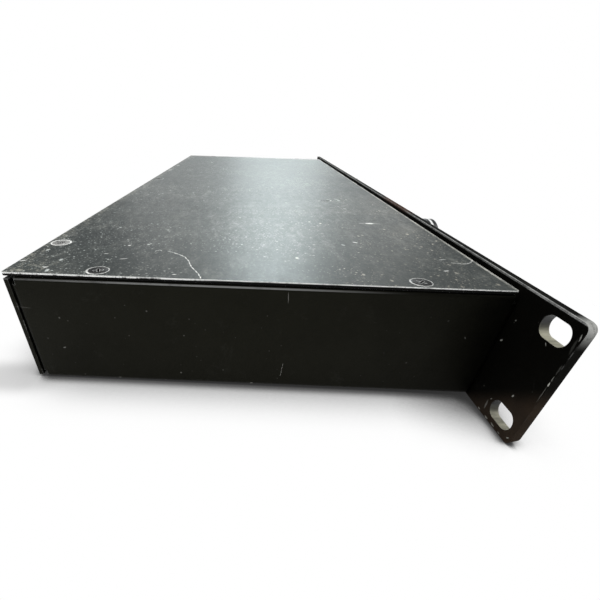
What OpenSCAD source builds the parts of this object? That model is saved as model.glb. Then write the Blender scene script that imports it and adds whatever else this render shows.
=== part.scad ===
// Wireless receiver unit, one rack unit high, for a 19 inch rack.
// Origin: centre of the four rack holes, on the back face of the front panel.
// X runs along the panel, -Y is the front, +Z is up. Millimetres.

/* [Front panel] */
// Width of the front panel from ear to ear
panel_w = 482.6; // [482:0.1:483]
// Height of the front panel
panel_h = 43.7; // [43.5:0.1:44]
// Thickness of the front panel
panel_t = 3; // [2.6:0.2:4]
// Radius of the panel's four corners
panel_corner_r = 2.5; // [1:0.5:4]
// Bevel round the panel's front edge
panel_bevel = 0.4; // [0.2:0.1:0.6]
// Distance between the left and right rack holes
rack_pitch_x = 465.1; // [465:0.1:465.2]
// Distance between the upper and lower rack holes
rack_pitch_z = 31.75; // [31.7:0.05:31.8]
// Length of each rack slot, end to end
slot_len = 11.7; // [9:0.1:12]
// Half the height of each rack slot
slot_r = 3.4; // [3.2:0.1:3.6]

/* [Case] */
// Width of the case over its side walls
case_w = 430.4; // [429:0.2:432]
// Depth of the case from the front panel's back to the rear panel's outer face
case_d = 166.4; // [164:0.2:175]
// Height of the case from its floor to the cover's upper face
case_h = 41.3; // [41:0.1:41.8]
// How far the cover's upper face lies below the panel's top edge
cover_drop = 1.45; // [1.2:0.05:1.6]
// Thickness of the tray, cover and brace sheet
sheet_t = 1.2; // [1:0.1:1.2]
// Thickness of the rear panel sheet
rear_t = 1.5; // [1.3:0.1:1.6]
// Outside radius of the sheet bends
bend_r = 1.8; // [1.7:0.1:2]
// Width of the tray's turned-in lips
lip_w = 12; // [11:0.5:13]
// Gap between the front panel's back and the cover's front edge
cover_gap = 1.6; // [1:0.1:2.2]

/* [Cover screws] */
// Head radius of the case's countersunk screws
head_r = 3.4; // [3:0.1:3.6]
// Shank radius of every M3 screw
shank_r = 1.45; // [1.4:0.05:1.45]
// Distance of the side screws from the cover's side edges
side_screw_in = 4.7; // [4.6:0.1:5]
// Distance of the front side screws behind the front panel
side_screw_front = 30.5; // [26:0.5:34]
// Distance of the rear side screws behind the front panel
side_screw_rear = 136.4; // [130:0.2:140]
// Distance of the rear row of screws from the cover's rear edge
rear_screw_in = 5; // [4.8:0.1:5.2]
// Sideways distance of the outer rear screws from the middle
rear_screw_x = 181.5; // [180:0.5:183]
// Sideways distance of the inboard brace screws from the middle
brace_screw_x = 71; // [68:0.5:74]
// Distance of the brace screws behind the front panel
brace_screw_y = 39.5; // [39:0.5:40]

/* [Front controls] */
// Distance of the data wheel's axis from the left wall
wheel_in = 109.8; // [108:0.2:111]
// Radius of the data wheel
wheel_r = 18; // [16:0.5:18.5]
// How far the data wheel stands in front of the panel
wheel_proud = 14; // [12:0.5:16]
// Distance of the level knob and the headphone jack from the right wall
monitor_in = 149; // [148:0.5:150]
// Height of the level knob's axis
knob_z = 11.5; // [11.3:0.1:11.7]
// Radius of the level knob
knob_r = 6.5; // [6.2:0.1:6.6]
// How far the level knob stands in front of the panel
knob_proud = 10; // [9.5:0.5:11]
// Height of the headphone jack's axis
headphone_z = -9.5; // [-9.6:0.1:-9.3]
// Radius of the push buttons
button_r = 3.5; // [3:0.1:3.8]
// How far the push buttons stand in front of the panel
button_proud = 2; // [1.5:0.25:2.5]
// Travel of the push buttons
button_travel = 0.6; // [0.4:0.1:0.8]
// Room between the data wheel's axis and the first display window
wheel_room = 26.2; // [26:0.2:28]
// Room between the two display windows
display_between = 12; // [11:0.5:14]
// Room between the second display window and the level knob's axis
monitor_room = 19; // [18.5:0.5:20]
// Height of each display window
display_h = 25; // [22:0.5:25]
// Number of level lights in each row
light_count = 7; // [4:1:7]
// Distance of the power switch from the right wall
power_in = 27; // [26:0.5:28]
// Tilt of the power rocker either side of level
rocker_tilt = 9; // [7:1:10]

/* [Rear connectors] */
// Distance of the mains inlet from the right wall
inlet_in = 38; // [37:0.5:39]
// Distance between the mains inlet and the first balanced output
output_from_inlet = 64; // [62:0.5:66]
// Distance between the outputs of the two channels
output_pitch = 70; // [68:0.5:72]
// Distance of each line jack from its channel's balanced output
jack_from_output = 26; // [25:0.5:27]
// Distance of each level switch from its channel's balanced output
level_from_output = 42; // [41:0.5:44]
// Distance of the first aerial socket from the left wall
antenna_in = 28; // [20:0.5:34]
// Distance between the two aerial sockets
antenna_pitch = 46; // [40:0.5:50]
// Travel of the level sliders
slider_travel = 2.6; // [2:0.2:2.8]

/* [Hidden] */
$fn = 64;

// Heights and depths that the driving sizes fix
case_top = panel_h / 2 - cover_drop;
case_bottom = case_top - case_h;
cover_under = case_top - sheet_t;
floor_top = case_bottom + sheet_t;
wall_in = case_w / 2 - sheet_t;
rear_in = case_d - rear_t;
panel_front = -panel_t;
side_lip_margin = 3;
rear_lip_depth = 12;
lip_clear = 0.4;
cut = 0.5;

// Radial gaps: running fit, screw in its hole, bush in its hole, moving piece in its opening
run = 0.05;
fit = 0.1;
cap_fit = 0.15;
gap = 0.3;

// Fasteners
nut_r = 2.8;
nut_h = 2.2;
sink_h = 1.1;
pan_r = 2.8;
pan_h = 1.6;
recess_len = 3.4;
recess_w = 0.8;
case_screw_len = 6;
panel_screw_x = case_w / 2 - lip_w / 2 - 1.5;
panel_screw_z = 10;

// Boards and their standoffs
board_t = 1.6;
standoff_h = 6;
standoff_r = 3;
standoff_head_r = 2.7;
board_low = floor_top + standoff_h;
board_top = board_low + board_t;
hole_in = 5;
wall_room = 10;
power_w = 74;
power_front = 56;
power_back = 22.9;
radio_w = 86;
radio_front = 52;
radio_between = 10;
radio_back = 18.9;
main_front = 48;
main_back = 16.9;
main_left = 10;
main_right = 8;
radio_d = (rear_in - radio_back - radio_front - radio_between) / 2;
POWER = [wall_in - wall_room - power_w, power_front, wall_in - wall_room, rear_in - power_back];
RADIO_A = [-wall_in + wall_room, radio_front, -wall_in + wall_room + radio_w, radio_front + radio_d];
RADIO_B = [RADIO_A[0], rear_in - radio_back - radio_d, RADIO_A[2], rear_in - radio_back];
MAIN = [RADIO_A[2] + main_left, main_front, POWER[0] - main_right, rear_in - main_back];
// What the boards carry
audio_chip = [22, 22, 2];
small_chip = [8, 5, 1.6];
driver_chip = [10, 6, 1.8];
plug_block = [12, 7, 8];
filter_can = [3, 9];
core = [30, 26, 24];
core_foot = 2;
core_window = [6, 12];
sink_base = [3, 52, 24];
fin = [8, 1.5];
fins = 9;
large_can = [8, 24];
small_can = [4, 14];
shield_wall = 0.5;
shield_h = 10;
shield_pitch = 6;
shield_in = [10, 5];

// Front board, its spacers and the ribbon
front_board_y = 11;
front_board_h = 34;
ribbon_x = 20;
ribbon_w = 26;
spacer_z = 13;
spacer_r = 2.4;
lip_room = 0.7;
floor_lip_h = -spacer_z - spacer_r - lip_room - floor_top;
spacer_stud_r = 1.6;
spacer_stud = 1.5;

// Lights
light_from_knob = 27;
light_pitch = 9;
light_z = 6;
light_r = 1.5;

// Sideways places of the front controls
sync_in = 24;
sync_x = -wall_in + sync_in;
wheel_x = -wall_in + wheel_in;
monitor_x = wall_in - monitor_in;
power_x = wall_in - power_in;
light_x0 = monitor_x + light_from_knob;
front_board_x = [-wall_in + 12, power_x - 21];

// Displays, which share the room between the wheel and the level knob
display_w = (monitor_x - wheel_x - wheel_room - display_between - monitor_room) / 2;
display_x = [wheel_x + wheel_room + display_w / 2, monitor_x - monitor_room - display_w / 2];
spacer_x = [
    sync_x + 12, wheel_x + 17.2, (display_x[0] + display_x[1]) / 2, monitor_x - 11,
    front_board_x[1] - 8
];
display_rim = 2;
display_r = 2;
lens_back = 1.4;
module_front = 2;

// Buttons, in the order sync, menu, channel a, channel b
button_from_sync = 25;
button_pitch = 18;
button_z = 8;
button_at = [
    for (s = [1, -1]) for (i = [0, 1])
        [sync_x + button_from_sync + i * button_pitch, s * button_z]
];
button_collar = 1.1;
collar_front = 0.4;
collar_t = 1.2;
cap_edge = 0.4;
button_stem_r = 1.5;
tact_front = 7.2;
tact_w = 6.2;
tact_floor = 0.6;

// Wheel and level knob
wheel_bush_r = 3.5;
wheel_shaft_r = 3;
wheel_nut_r = 5.6;
knob_bush_r = 2.5;
knob_shaft_r = 1.5;
knob_nut_r = 4;
knob_gap = 0.6;
nut_t = 1.8;
control_front = 4.6;

// Pairing window
sync_len = 11;
sync_r = 3;

// Power switch
switch_w = 13;
switch_h = 19.2;
switch_back = 14;
bezel_w = 15.4;
bezel_h = 22;
bezel_t = 1.8;
rocker_w = 9.8;
rocker_r = 8.6;
rocker_y = -0.5;
rocker_pin_r = 1.25;

// Connectors
inlet_x = wall_in - inlet_in;
xlr_x = [for (i = [0, 1]) inlet_x - output_from_inlet - i * output_pitch];
line_x = [for (x = xlr_x) x - jack_from_output];
level_x = [for (x = xlr_x) x - level_from_output];
antenna_x = [for (i = [0, 1]) -wall_in + antenna_in + i * antenna_pitch];
vent_pitch = 7;
vent_from_antenna = 30;
vent_from_level = 40;
flange_t = 2.2;
mouth = case_d + flange_t;
jack_r = 3.2;
jack_bush_r = 4.7;
jack_nut_r = 6.2;
jack_nut_t = 1.6;
jack_half = 6.1;
jack_len = 28.2;
jack_proud = 1.9;
jack_front = panel_front - jack_proud;
xlr_flange = [26, 31];
xlr_shell_r = 11.7;
xlr_cavity_r = 9.6;
xlr_depth = 14.6;
xlr_floor = mouth - xlr_depth;
xlr_insert_t = 5;
xlr_notch = [3, 6, 1.2];
xlr_hole = [9.5, 12];
xlr_pin_ring = 4.9;
xlr_pin_r = 1.2;
xlr_pin_back = xlr_floor - 8;
inlet_flange = [50, 23];
inlet_body = [27, 20];
inlet_body_back = mouth - 19;
inlet_cavity = [24.2, 16.4];
inlet_floor = mouth - 16.5;
inlet_hole = 20;
inlet_pin = [2, 4];
inlet_pin_at = [[-7, -2], [7, -2], [0, 2]];
inlet_pin_back = mouth - 22;
bnc_r = 4.8;
bnc_neck_r = 6.2;
bnc_body = 14;
bnc_nut_t = 2.2;
slider_w = 4;
slider_h = 3;
slider_slot_h = slider_h + 2 * gap;
slider_slot_w = slider_w + slider_travel + 2 * gap;
slider_depth = 5;

// ---- Shapes that repeat -------------------------------------------------

// Extrudes an X-Z outline along Y from y0 to y1
module along_y(y0, y1) {
    translate([0, y1, 0]) rotate([90, 0, 0]) linear_extrude(y1 - y0) children();
}

// Extrudes a Y-Z outline along X from x0 to x1
module along_x(x0, x1) {
    translate([x0, 0, 0]) rotate([90, 0, 90]) linear_extrude(x1 - x0) children();
}

// Round rod along Y, centred on x, z
module rod_y(x, z, r, y0, y1) {
    translate([x, y0, z]) rotate([-90, 0, 0]) cylinder(r = r, h = y1 - y0);
}

// Cone along Y with radius r0 at y0 and r1 at y1
module cone_y(x, z, r0, r1, y0, y1) {
    translate([x, y0, z]) rotate([-90, 0, 0]) cylinder(r1 = r0, r2 = r1, h = y1 - y0);
}

// Hexagonal rod along Y, r from centre to corner
module hex_y(x, z, r, y0, y1) {
    translate([x, y0, z]) rotate([-90, 0, 0]) cylinder(r = r, h = y1 - y0, $fn = 6);
}

// Block between two opposite corners
module block(a, b) {
    translate(a) cube(b - a);
}

// Rectangle w by h about the origin with round corners
module round_rect(w, h, r) {
    square([w - 2 * r, h], center = true);
    square([w, h - 2 * r], center = true);
    for (sx = [-1, 1]) for (sy = [-1, 1])
        translate([sx * (w / 2 - r), sy * (h / 2 - r)]) circle(r);
}

// Closed loop of bent sheet, outer size w by h
module sheet_ring(w, h, t) {
    difference() {
        round_rect(w, h, bend_r);
        round_rect(w - 2 * t, h - 2 * t, bend_r - t);
    }
}

// Slot outline, len end to end
module slot(len, r) {
    square([len - 2 * r, 2 * r], center = true);
    for (s = [-1, 1]) translate([s * (len / 2 - r), 0]) circle(r);
}

// Cross recess cut down from the head's top face
module cross_recess(depth) {
    for (a = [0, 90]) rotate(a)
        translate([-recess_len / 2, -recess_w / 2, -depth]) cube([recess_len, recess_w, depth + cut]);
}

// Shallow countersunk screw hanging down from z = 0
module sunk_screw(len) {
    difference() {
        union() {
            translate([0, 0, -sink_h]) cylinder(r1 = shank_r, r2 = head_r, h = sink_h);
            translate([0, 0, -len]) cylinder(r = shank_r, h = len - sink_h);
        }
        cross_recess(0.7);
    }
}

// Pan head screw, head on z = 0, shank going down
module pan_screw(len) {
    difference() {
        union() {
            cylinder(r = pan_r, h = pan_h * 0.6);
            translate([0, 0, pan_h * 0.6]) cylinder(r1 = pan_r, r2 = pan_r - 0.7, h = pan_h * 0.4);
            translate([0, 0, -len]) cylinder(r = shank_r, h = len);
        }
        translate([0, 0, pan_h]) cross_recess(0.9);
    }
}

// Countersunk hole for sunk_screw, its mouth at z = 0
module sunk_hole(depth) {
    translate([0, 0, -sink_h]) cylinder(r1 = shank_r + fit, r2 = head_r + fit, h = sink_h + 0.001);
    translate([0, 0, -depth]) cylinder(r = shank_r + fit, h = depth);
    cylinder(r = head_r + fit, h = cut);
}

// Screw holes down through the sheets below the cover
module nut_holes(places) {
    for (p = places) translate([p[0], p[1], cover_under - nut_h])
        cylinder(r = shank_r + fit, h = nut_h + cut);
}

// Turns a piece that hangs down -Z so that it points along +Y
module into_y() {
    rotate([90, 0, 0]) children();
}

// Turns a piece that hangs down -Z so that it points along -Y
module into_minus_y() {
    rotate([-90, 0, 0]) children();
}

// Lead of radius r that runs along Y from y0 to y1 and turns down to z1
module lead(x, z, r, y0, y1, z1) {
    dir = sign(y1 - y0);
    bend = 2 * r;
    rod_y(x, z, r, min(y0, y1 - dir * bend), max(y0, y1 - dir * bend));
    translate([x, y1 - dir * bend, z - bend]) rotate([90, 0, dir * 90])
        rotate_extrude(angle = 90) translate([bend, 0]) circle(r);
    translate([x, y1, z1]) cylinder(r = r, h = z - bend - z1);
}

// ---- Places that several pieces share -----------------------------------

// Places of the four hole centres of a board [x0, y0, x1, y1]
function board_holes(b) = [
    for (x = [b[0] + hole_in, b[2] - hole_in])
        for (y = [b[1] + hole_in, b[3] - hole_in]) [x, y]
];

FLOOR_HOLES = concat(
    board_holes(MAIN), board_holes(POWER), board_holes(RADIO_A), board_holes(RADIO_B)
);

SPACERS = [for (x = spacer_x) for (s = [-1, 1]) [x, s * spacer_z]];

side_screw_x = case_w / 2 - side_screw_in;

SIDE_SCREWS = [for (sx = [-1, 1]) for (y = [side_screw_front, side_screw_rear]) [sx * side_screw_x, y]];

REAR_SCREWS = [for (s = [-1, 0, 1]) [s * rear_screw_x, case_d - rear_screw_in]];

BRACE_SCREWS = [for (s = [-1, 1]) [s * brace_screw_x, brace_screw_y]];

PANEL_SCREWS = [for (sx = [-1, 1]) for (sz = [-1, 1]) [sx * panel_screw_x, sz * panel_screw_z]];

XLR_SCREWS = [
    for (x = xlr_x) for (s = [-1, 1]) [x - s * xlr_hole[0], s * xlr_hole[1]]
];

// Places of the three contacts of the balanced output at x
function xlr_contacts(x) = [
    for (a = [150, 30, 270]) [x + xlr_pin_ring * cos(a), xlr_pin_ring * sin(a)]
];

LIGHTS = [for (i = [0 : light_count - 1]) for (s = [-1, 1]) [light_x0 + i * light_pitch, s * light_z]];

// ---- Case ---------------------------------------------------------------

// One floor lip and both side walls' lips are each a slice of a bent loop
module tray_loops() {
    loop_h = cover_under - case_bottom;
    mid_z = (cover_under + case_bottom) / 2;
    along_y(bend_r, rear_in - bend_r) translate([0, mid_z]) sheet_ring(case_w, loop_h, sheet_t);
    translate([0, rear_in / 2, case_bottom + side_lip_margin])
        linear_extrude(loop_h - 2 * side_lip_margin)
            sheet_ring(case_w, rear_in, sheet_t);
    along_x(-case_w / 2 + lip_w + side_lip_margin, case_w / 2 - lip_w - side_lip_margin)
        translate([rear_in / 2, mid_z]) sheet_ring(rear_in, loop_h, sheet_t);
}

// Ventilation slots in the floor under the power supply
module floor_vents() {
    for (ix = [0 : 7]) for (iy = [0 : 1])
        translate([POWER[0] + 12 + ix * 7, POWER[1] + 24 + iy * 30, case_bottom - cut])
            linear_extrude(sheet_t + 2 * cut) rotate(90) slot(22, 1.5);
}

module chassis_tray() {
    color("#1b1c1e") difference() {
        tray_loops();
        // the open top between the side lips, and the rear panel's lip above the rear end
        block([-case_w / 2 + lip_w, -cut, floor_top + floor_lip_h],
              [case_w / 2 - lip_w, case_d, case_top]);
        block([-case_w / 2 + bend_r, rear_in - rear_lip_depth, cover_under - rear_t - lip_clear],
              [case_w / 2 - bend_r, case_d, case_top]);
        // the gaps between the floor's lips and the side lips
        for (s = [-1, 1]) for (y = [-cut, rear_in - sheet_t])
            translate([s * (case_w / 2 - lip_w - side_lip_margin / 2), y + (sheet_t + cut) / 2, 0])
                cube([side_lip_margin, sheet_t + cut, 2 * (-floor_top)], center = true);
        nut_holes(SIDE_SCREWS);
        for (p = PANEL_SCREWS) {
            rod_y(p[0], p[1], shank_r + fit, -cut, sheet_t + cut);
            rod_y(p[0], p[1], shank_r + fit, rear_in - sheet_t - cut, rear_in + cut);
        }
        for (p = FLOOR_HOLES)
            translate([p[0], p[1], case_bottom - cut]) cylinder(r = standoff_head_r, h = sheet_t + 2 * cut);
        floor_vents();
    }
}

module rear_panel() {
    lip_end = rear_in - rear_lip_depth + 2;
    plate_low = case_bottom + 1;
    bend_end = case_w / 2 - bend_r - lip_clear;
    color("#1b1c1e") difference() {
        union() {
            // plate with its upper lip bent forward over the tray
            along_x(-bend_end, bend_end) difference() {
                translate([case_d - 50, cover_under - 50]) round_rect(100, 100, bend_r);
                translate([case_d - rear_t - 100, cover_under - rear_t - 100]) square(100);
                translate([case_d - 101, cover_under - 101]) square([101, 101 + plate_low - cover_under]);
                translate([case_d - 101, cover_under - 101]) square([101 + lip_end - case_d, 102]);
            }
            // the plate's full width, notched at its two upper corners
            along_y(rear_in, case_d) translate([-case_w / 2, plate_low])
                square([case_w, cover_under - plate_low - bend_r]);
            for (s = [-1, 1]) along_y(rear_in, case_d)
                translate([s * (case_w / 2 - (bend_r + lip_clear) / 2), cover_under - bend_r])
                    square([bend_r + lip_clear, 2 * (bend_r - 1)], center = true);
        }
        nut_holes(REAR_SCREWS);
        for (p = PANEL_SCREWS) rod_y(p[0], p[1], shank_r + fit, rear_in - cut, case_d + cut);
        for (x = xlr_x) rod_y(x, 0, xlr_shell_r + 0.3, rear_in - cut, case_d + cut);
        for (p = XLR_SCREWS) rod_y(p[0], p[1], shank_r, rear_in - cut, case_d + cut);
        for (x = line_x) rod_y(x, 0, jack_bush_r + cap_fit, rear_in - cut, case_d + cut);
        for (x = antenna_x) rod_y(x, 0, bnc_neck_r + cap_fit, rear_in - cut, case_d + cut);
        for (x = level_x) along_y(rear_in - cut, case_d + cut)
            translate([x, 0]) square([slider_slot_w + 0.4, slider_slot_h + 0.4], center = true);
        along_y(rear_in - cut, case_d + cut) translate([inlet_x, 0])
            square([inlet_body[0] + 0.4, inlet_body[1] + 0.4], center = true);
        for (s = [-1, 1]) rod_y(inlet_x + s * inlet_hole, 0, shank_r, rear_in - cut, case_d + cut);
        // cooling slots
        for (x = [antenna_x[1] + vent_from_antenna : vent_pitch : level_x[1] - vent_from_level])
            along_y(rear_in - cut, case_d + cut) translate([x, 0]) rotate(90) slot(20, 1.5);
    }
}

module top_cover() {
    depth = case_d - cover_gap;
    color("#26282a") difference() {
        translate([0, cover_gap + depth / 2, cover_under]) linear_extrude(sheet_t)
            round_rect(case_w, depth, 0.8);
        for (p = concat(SIDE_SCREWS, REAR_SCREWS, BRACE_SCREWS))
            translate([p[0], p[1], case_top]) sunk_hole(sheet_t + cut);
    }
}

module cross_brace() {
    web_y = brace_screw_y - 6;
    depth = 11.5;
    half = case_w / 2 - lip_w - 1.2;
    loop_h = cover_under - floor_top;
    color("#8d9093") difference() {
        along_x(-half, half) difference() {
            translate([web_y + depth, floor_top + loop_h / 2]) sheet_ring(2 * depth, loop_h, sheet_t);
            translate([web_y + depth, floor_top - cut]) square([2 * depth, loop_h + 2 * cut]);
        }
        nut_holes(BRACE_SCREWS);
        // windows for the ribbon, the headphone leads and the mains leads
        block([ribbon_x - ribbon_w / 2 - 3, web_y - cut, -9],
              [ribbon_x + ribbon_w / 2 + 3, web_y + sheet_t + cut, -1]);
        block([monitor_x - 8, web_y - cut, -16], [monitor_x + 8, web_y + sheet_t + cut, -4]);
        block([power_x - 8, web_y - cut, -9], [half - 3, web_y + sheet_t + cut, 9]);
    }
}

module front_panel() {
    color("#1a1b1c") difference() {
        intersection() {
            along_y(panel_front, 0) round_rect(panel_w, panel_h, panel_corner_r);
            along_x(-panel_w / 2, panel_w / 2) polygon([
                [0, -panel_h / 2], [0, panel_h / 2], [panel_front + panel_bevel, panel_h / 2],
                [panel_front, panel_h / 2 - panel_bevel], [panel_front, -panel_h / 2 + panel_bevel],
                [panel_front + panel_bevel, -panel_h / 2]
            ]);
            translate([0, 0, -panel_h / 2]) linear_extrude(panel_h) polygon([
                [-panel_w / 2, 0], [panel_w / 2, 0], [panel_w / 2, panel_front + panel_bevel],
                [panel_w / 2 - panel_bevel, panel_front], [-panel_w / 2 + panel_bevel, panel_front],
                [-panel_w / 2, panel_front + panel_bevel]
            ]);
        }
        // rack slots
        along_y(panel_front - cut, cut) for (sx = [-1, 1]) for (sz = [-1, 1])
            translate([sx * rack_pitch_x / 2, sz * rack_pitch_z / 2]) slot(slot_len, slot_r);
        // windows, buttons, controls and lights
        along_y(panel_front - cut, cut) {
            for (x = display_x) translate([x, 0]) round_rect(display_w, display_h, display_r);
            translate([sync_x, 0]) slot(sync_len, sync_r);
            translate([power_x, 0]) square([switch_w + 0.3, switch_h + 0.3], center = true);
        }
        for (p = button_at) rod_y(p[0], p[1], button_r + gap, panel_front - cut, cut);
        rod_y(wheel_x, 0, wheel_bush_r + cap_fit, panel_front - cut, cut);
        rod_y(monitor_x, knob_z, knob_bush_r + cap_fit, panel_front - cut, cut);
        rod_y(monitor_x, headphone_z, jack_bush_r + cap_fit, panel_front - cut, cut);
        for (p = LIGHTS) rod_y(p[0], p[1], light_r + fit, panel_front - cut, cut);
        for (p = SPACERS) rod_y(p[0], p[1], spacer_stud_r, -spacer_stud, cut);
        for (p = PANEL_SCREWS) translate([p[0], panel_front, p[1]]) into_y() sunk_hole(panel_t + cut);
    }
}

// ---- Fasteners ----------------------------------------------------------

module clinch_nut() {
    difference() {
        translate([0, 0, -nut_h]) cylinder(r = nut_r, h = nut_h);
        translate([0, 0, -nut_h - cut]) cylinder(r = shank_r + run, h = nut_h + 2 * cut);
    }
}

module clinch_nuts() {
    color("#b9bcbf") {
        for (p = concat(SIDE_SCREWS, BRACE_SCREWS))
            translate([p[0], p[1], cover_under - sheet_t]) clinch_nut();
        for (p = REAR_SCREWS) translate([p[0], p[1], cover_under - rear_t]) clinch_nut();
        for (p = PANEL_SCREWS) {
            translate([p[0], sheet_t, p[1]]) into_y() clinch_nut();
            translate([p[0], rear_in - sheet_t, p[1]]) into_minus_y() clinch_nut();
        }
    }
}

module cover_screws() {
    color("#2b2c2d") for (p = concat(SIDE_SCREWS, REAR_SCREWS, BRACE_SCREWS))
        translate([p[0], p[1], case_top]) sunk_screw(case_screw_len);
}

module front_panel_screws() {
    color("#2b2c2d") for (p = PANEL_SCREWS)
        translate([p[0], panel_front, p[1]]) into_y() sunk_screw(case_screw_len + panel_t - 1);
}

module rear_panel_screws() {
    color("#2b2c2d") for (p = PANEL_SCREWS)
        translate([p[0], case_d, p[1]]) into_minus_y() pan_screw(case_screw_len);
}

module connector_screws() {
    color("#2b2c2d") {
        for (p = XLR_SCREWS) translate([p[0], mouth, p[1]]) into_minus_y() pan_screw(case_screw_len);
        for (s = [-1, 1]) translate([inlet_x + s * inlet_hole, mouth, 0])
            into_minus_y() pan_screw(case_screw_len);
    }
}

module board_standoffs() {
    color("#c2c5c8") for (p = FLOOR_HOLES) translate([p[0], p[1], 0]) difference() {
        union() {
            translate([0, 0, case_bottom]) cylinder(r = standoff_head_r, h = sheet_t);
            translate([0, 0, floor_top]) cylinder(r = standoff_r, h = standoff_h, $fn = 6);
        }
        translate([0, 0, floor_top + 0.6]) cylinder(r = shank_r + run, h = standoff_h);
    }
}

module front_board_spacers() {
    color("#c2c5c8") for (p = SPACERS) difference() {
        union() {
            rod_y(p[0], p[1], spacer_stud_r, -spacer_stud, 0);
            rod_y(p[0], p[1], spacer_r, 0, front_board_y);
        }
        rod_y(p[0], p[1], shank_r + run, front_board_y - 5.5, front_board_y + cut);
    }
}

module board_screws() {
    color("#c2c5c8") {
        for (p = FLOOR_HOLES) translate([p[0], p[1], board_top]) pan_screw(board_t + 4);
        for (p = SPACERS)
            translate([p[0], front_board_y + board_t, p[1]]) into_minus_y() pan_screw(board_t + 4);
    }
}

// ---- Boards and what they carry -----------------------------------------

// Circuit board on the floor's standoffs with its four screw holes
module floor_board(b) {
    difference() {
        block([b[0], b[1], board_low], [b[2], b[3], board_top]);
        for (p = board_holes(b))
            translate([p[0], p[1], board_low - cut]) cylinder(r = shank_r + cap_fit, h = board_t + 2 * cut);
    }
}

module main_board() {
    color("#1d5a34") floor_board(MAIN);
}

module power_board() {
    color("#1d5a34") floor_board(POWER);
}

module receiver_board_a() {
    color("#1d5a34") floor_board(RADIO_A);
}

module receiver_board_b() {
    color("#1d5a34") floor_board(RADIO_B);
}

// Chip of size s at x, y on the floor boards
module chip(x, y, s) {
    translate([x - s[0] / 2, y - s[1] / 2, board_top]) cube(s);
}

module main_board_parts() {
    left = MAIN[0];
    right = MAIN[2];
    front = MAIN[1];
    color("#232323") {
        for (i = [0, 1]) chip(left + 48 + i * 60, front + 48, audio_chip);
        for (i = [0 : 5]) chip(left + 23 + i * 2 * small_chip[0], MAIN[3] - 20, small_chip);
        for (i = [0 : 3]) chip(right - 62, front + 18 + i * 16, driver_chip);
        chip(left + 18, front + 30, plug_block);
    }
    color("#3a3f46") for (i = [0 : 4]) translate([right - 42 + i * 8, front + 44, board_top])
        cylinder(r = filter_can[0], h = filter_can[1]);
}

// Laminated core on a foot, its two windows open from front to back
module power_transformer() {
    color("#4a4036") translate([POWER[0] + 26, POWER[1] + 14, board_top]) {
        difference() {
            translate([-core[0] / 2, -core[1] / 2, core_foot])
                cube([core[0], core[1], core[2] - 2 * core_foot]);
            for (s = [-1, 1])
                translate([s * 9 - core_window[0] / 2, -core[1] / 2 - cut, (core[2] - core_window[1]) / 2])
                    cube([core_window[0], core[1] + 2 * cut, core_window[1]]);
        }
        translate([-core[0] / 2, -core[1] / 2, 0]) cube([core[0], core[1], core_foot]);
    }
}

// Extruded plate with upright fins
module power_heatsink() {
    pitch = (sink_base[1] - fin[1]) / (fins - 1);
    color("#9a9da0") translate([POWER[2] - 18, POWER[1] + 14, board_top]) {
        cube(sink_base);
        for (i = [0 : fins - 1])
            translate([sink_base[0], i * pitch, 0]) cube([fin[0], fin[1], sink_base[2]]);
    }
}

module power_capacitors() {
    color("#20242c") {
        for (i = [0 : 1]) translate([POWER[0] + 16 + i * 20, POWER[3] - 34, board_top])
            cylinder(r = large_can[0], h = large_can[1]);
        for (i = [0 : 3]) translate([POWER[0] + 12 + i * 12, POWER[3] - 14, board_top])
            cylinder(r = small_can[0], h = small_can[1]);
    }
}

// Pressed can over a receiver: thin walls, open below, drilled lid
module shield_can(b) {
    lo = [b[0] + shield_in[0], b[1] + shield_in[1], board_top];
    hi = [b[2] - shield_in[0], b[3] - shield_in[1], board_top + shield_h];
    difference() {
        block(lo, hi);
        block(lo + [shield_wall, shield_wall, -cut], hi - [shield_wall, shield_wall, shield_wall]);
        for (x = [lo[0] + 9 : shield_pitch : hi[0] - 9])
            for (y = [lo[1] + 7 : shield_pitch : hi[1] - 7])
                translate([x, y, hi[2] - 1]) cylinder(r = 1, h = 2);
    }
}

module shield_can_a() {
    color("#c9ccce") shield_can(RADIO_A);
}

module shield_can_b() {
    color("#c9ccce") shield_can(RADIO_B);
}

module front_board() {
    color("#1d5a34") difference() {
        along_y(front_board_y, front_board_y + board_t)
            translate([(front_board_x[0] + front_board_x[1]) / 2, 0])
                square([front_board_x[1] - front_board_x[0], front_board_h], center = true);
        for (p = SPACERS)
            rod_y(p[0], p[1], shank_r + cap_fit, front_board_y - cut, front_board_y + board_t + cut);
        // cut-out round the headphone jack
        block([monitor_x - 7.5, front_board_y - cut, -front_board_h / 2 - cut],
              [monitor_x + 7.5, front_board_y + board_t + cut, headphone_z + 7]);
    }
}

// Framed display on the front board with its sunk glass
module display_module(i) {
    difference() {
        along_y(module_front, front_board_y) translate([display_x[i], 0])
            square([display_w + 2 * display_rim, display_h + 3 * display_rim], center = true);
        along_y(module_front - cut, module_front + 0.6) translate([display_x[i], 0])
            square([display_w - 2, display_h - 2], center = true);
    }
}

module display_module_a() {
    color("#30343a") display_module(0);
}

module display_module_b() {
    color("#30343a") display_module(1);
}

// Window that fills its opening and has a rim behind the panel
module window_lens(i) {
    along_y(panel_front + 0.3, 0) translate([display_x[i], 0])
        round_rect(display_w - 2 * fit, display_h - 2 * fit, display_r - fit);
    along_y(0, lens_back) translate([display_x[i], 0])
        round_rect(display_w + 2 * display_rim, display_h + 2 * display_rim, display_r);
}

module display_windows() {
    color("#15181c", 0.6) for (i = [0, 1]) window_lens(i);
}

module sync_window() {
    color("#3a0d14", 0.8) {
        along_y(panel_front + 0.2, 0) translate([sync_x, 0]) slot(sync_len - 2 * fit, sync_r - fit);
        along_y(0, lens_back) translate([sync_x, 0]) slot(sync_len + 3, sync_r + 1.5);
    }
}

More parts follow.
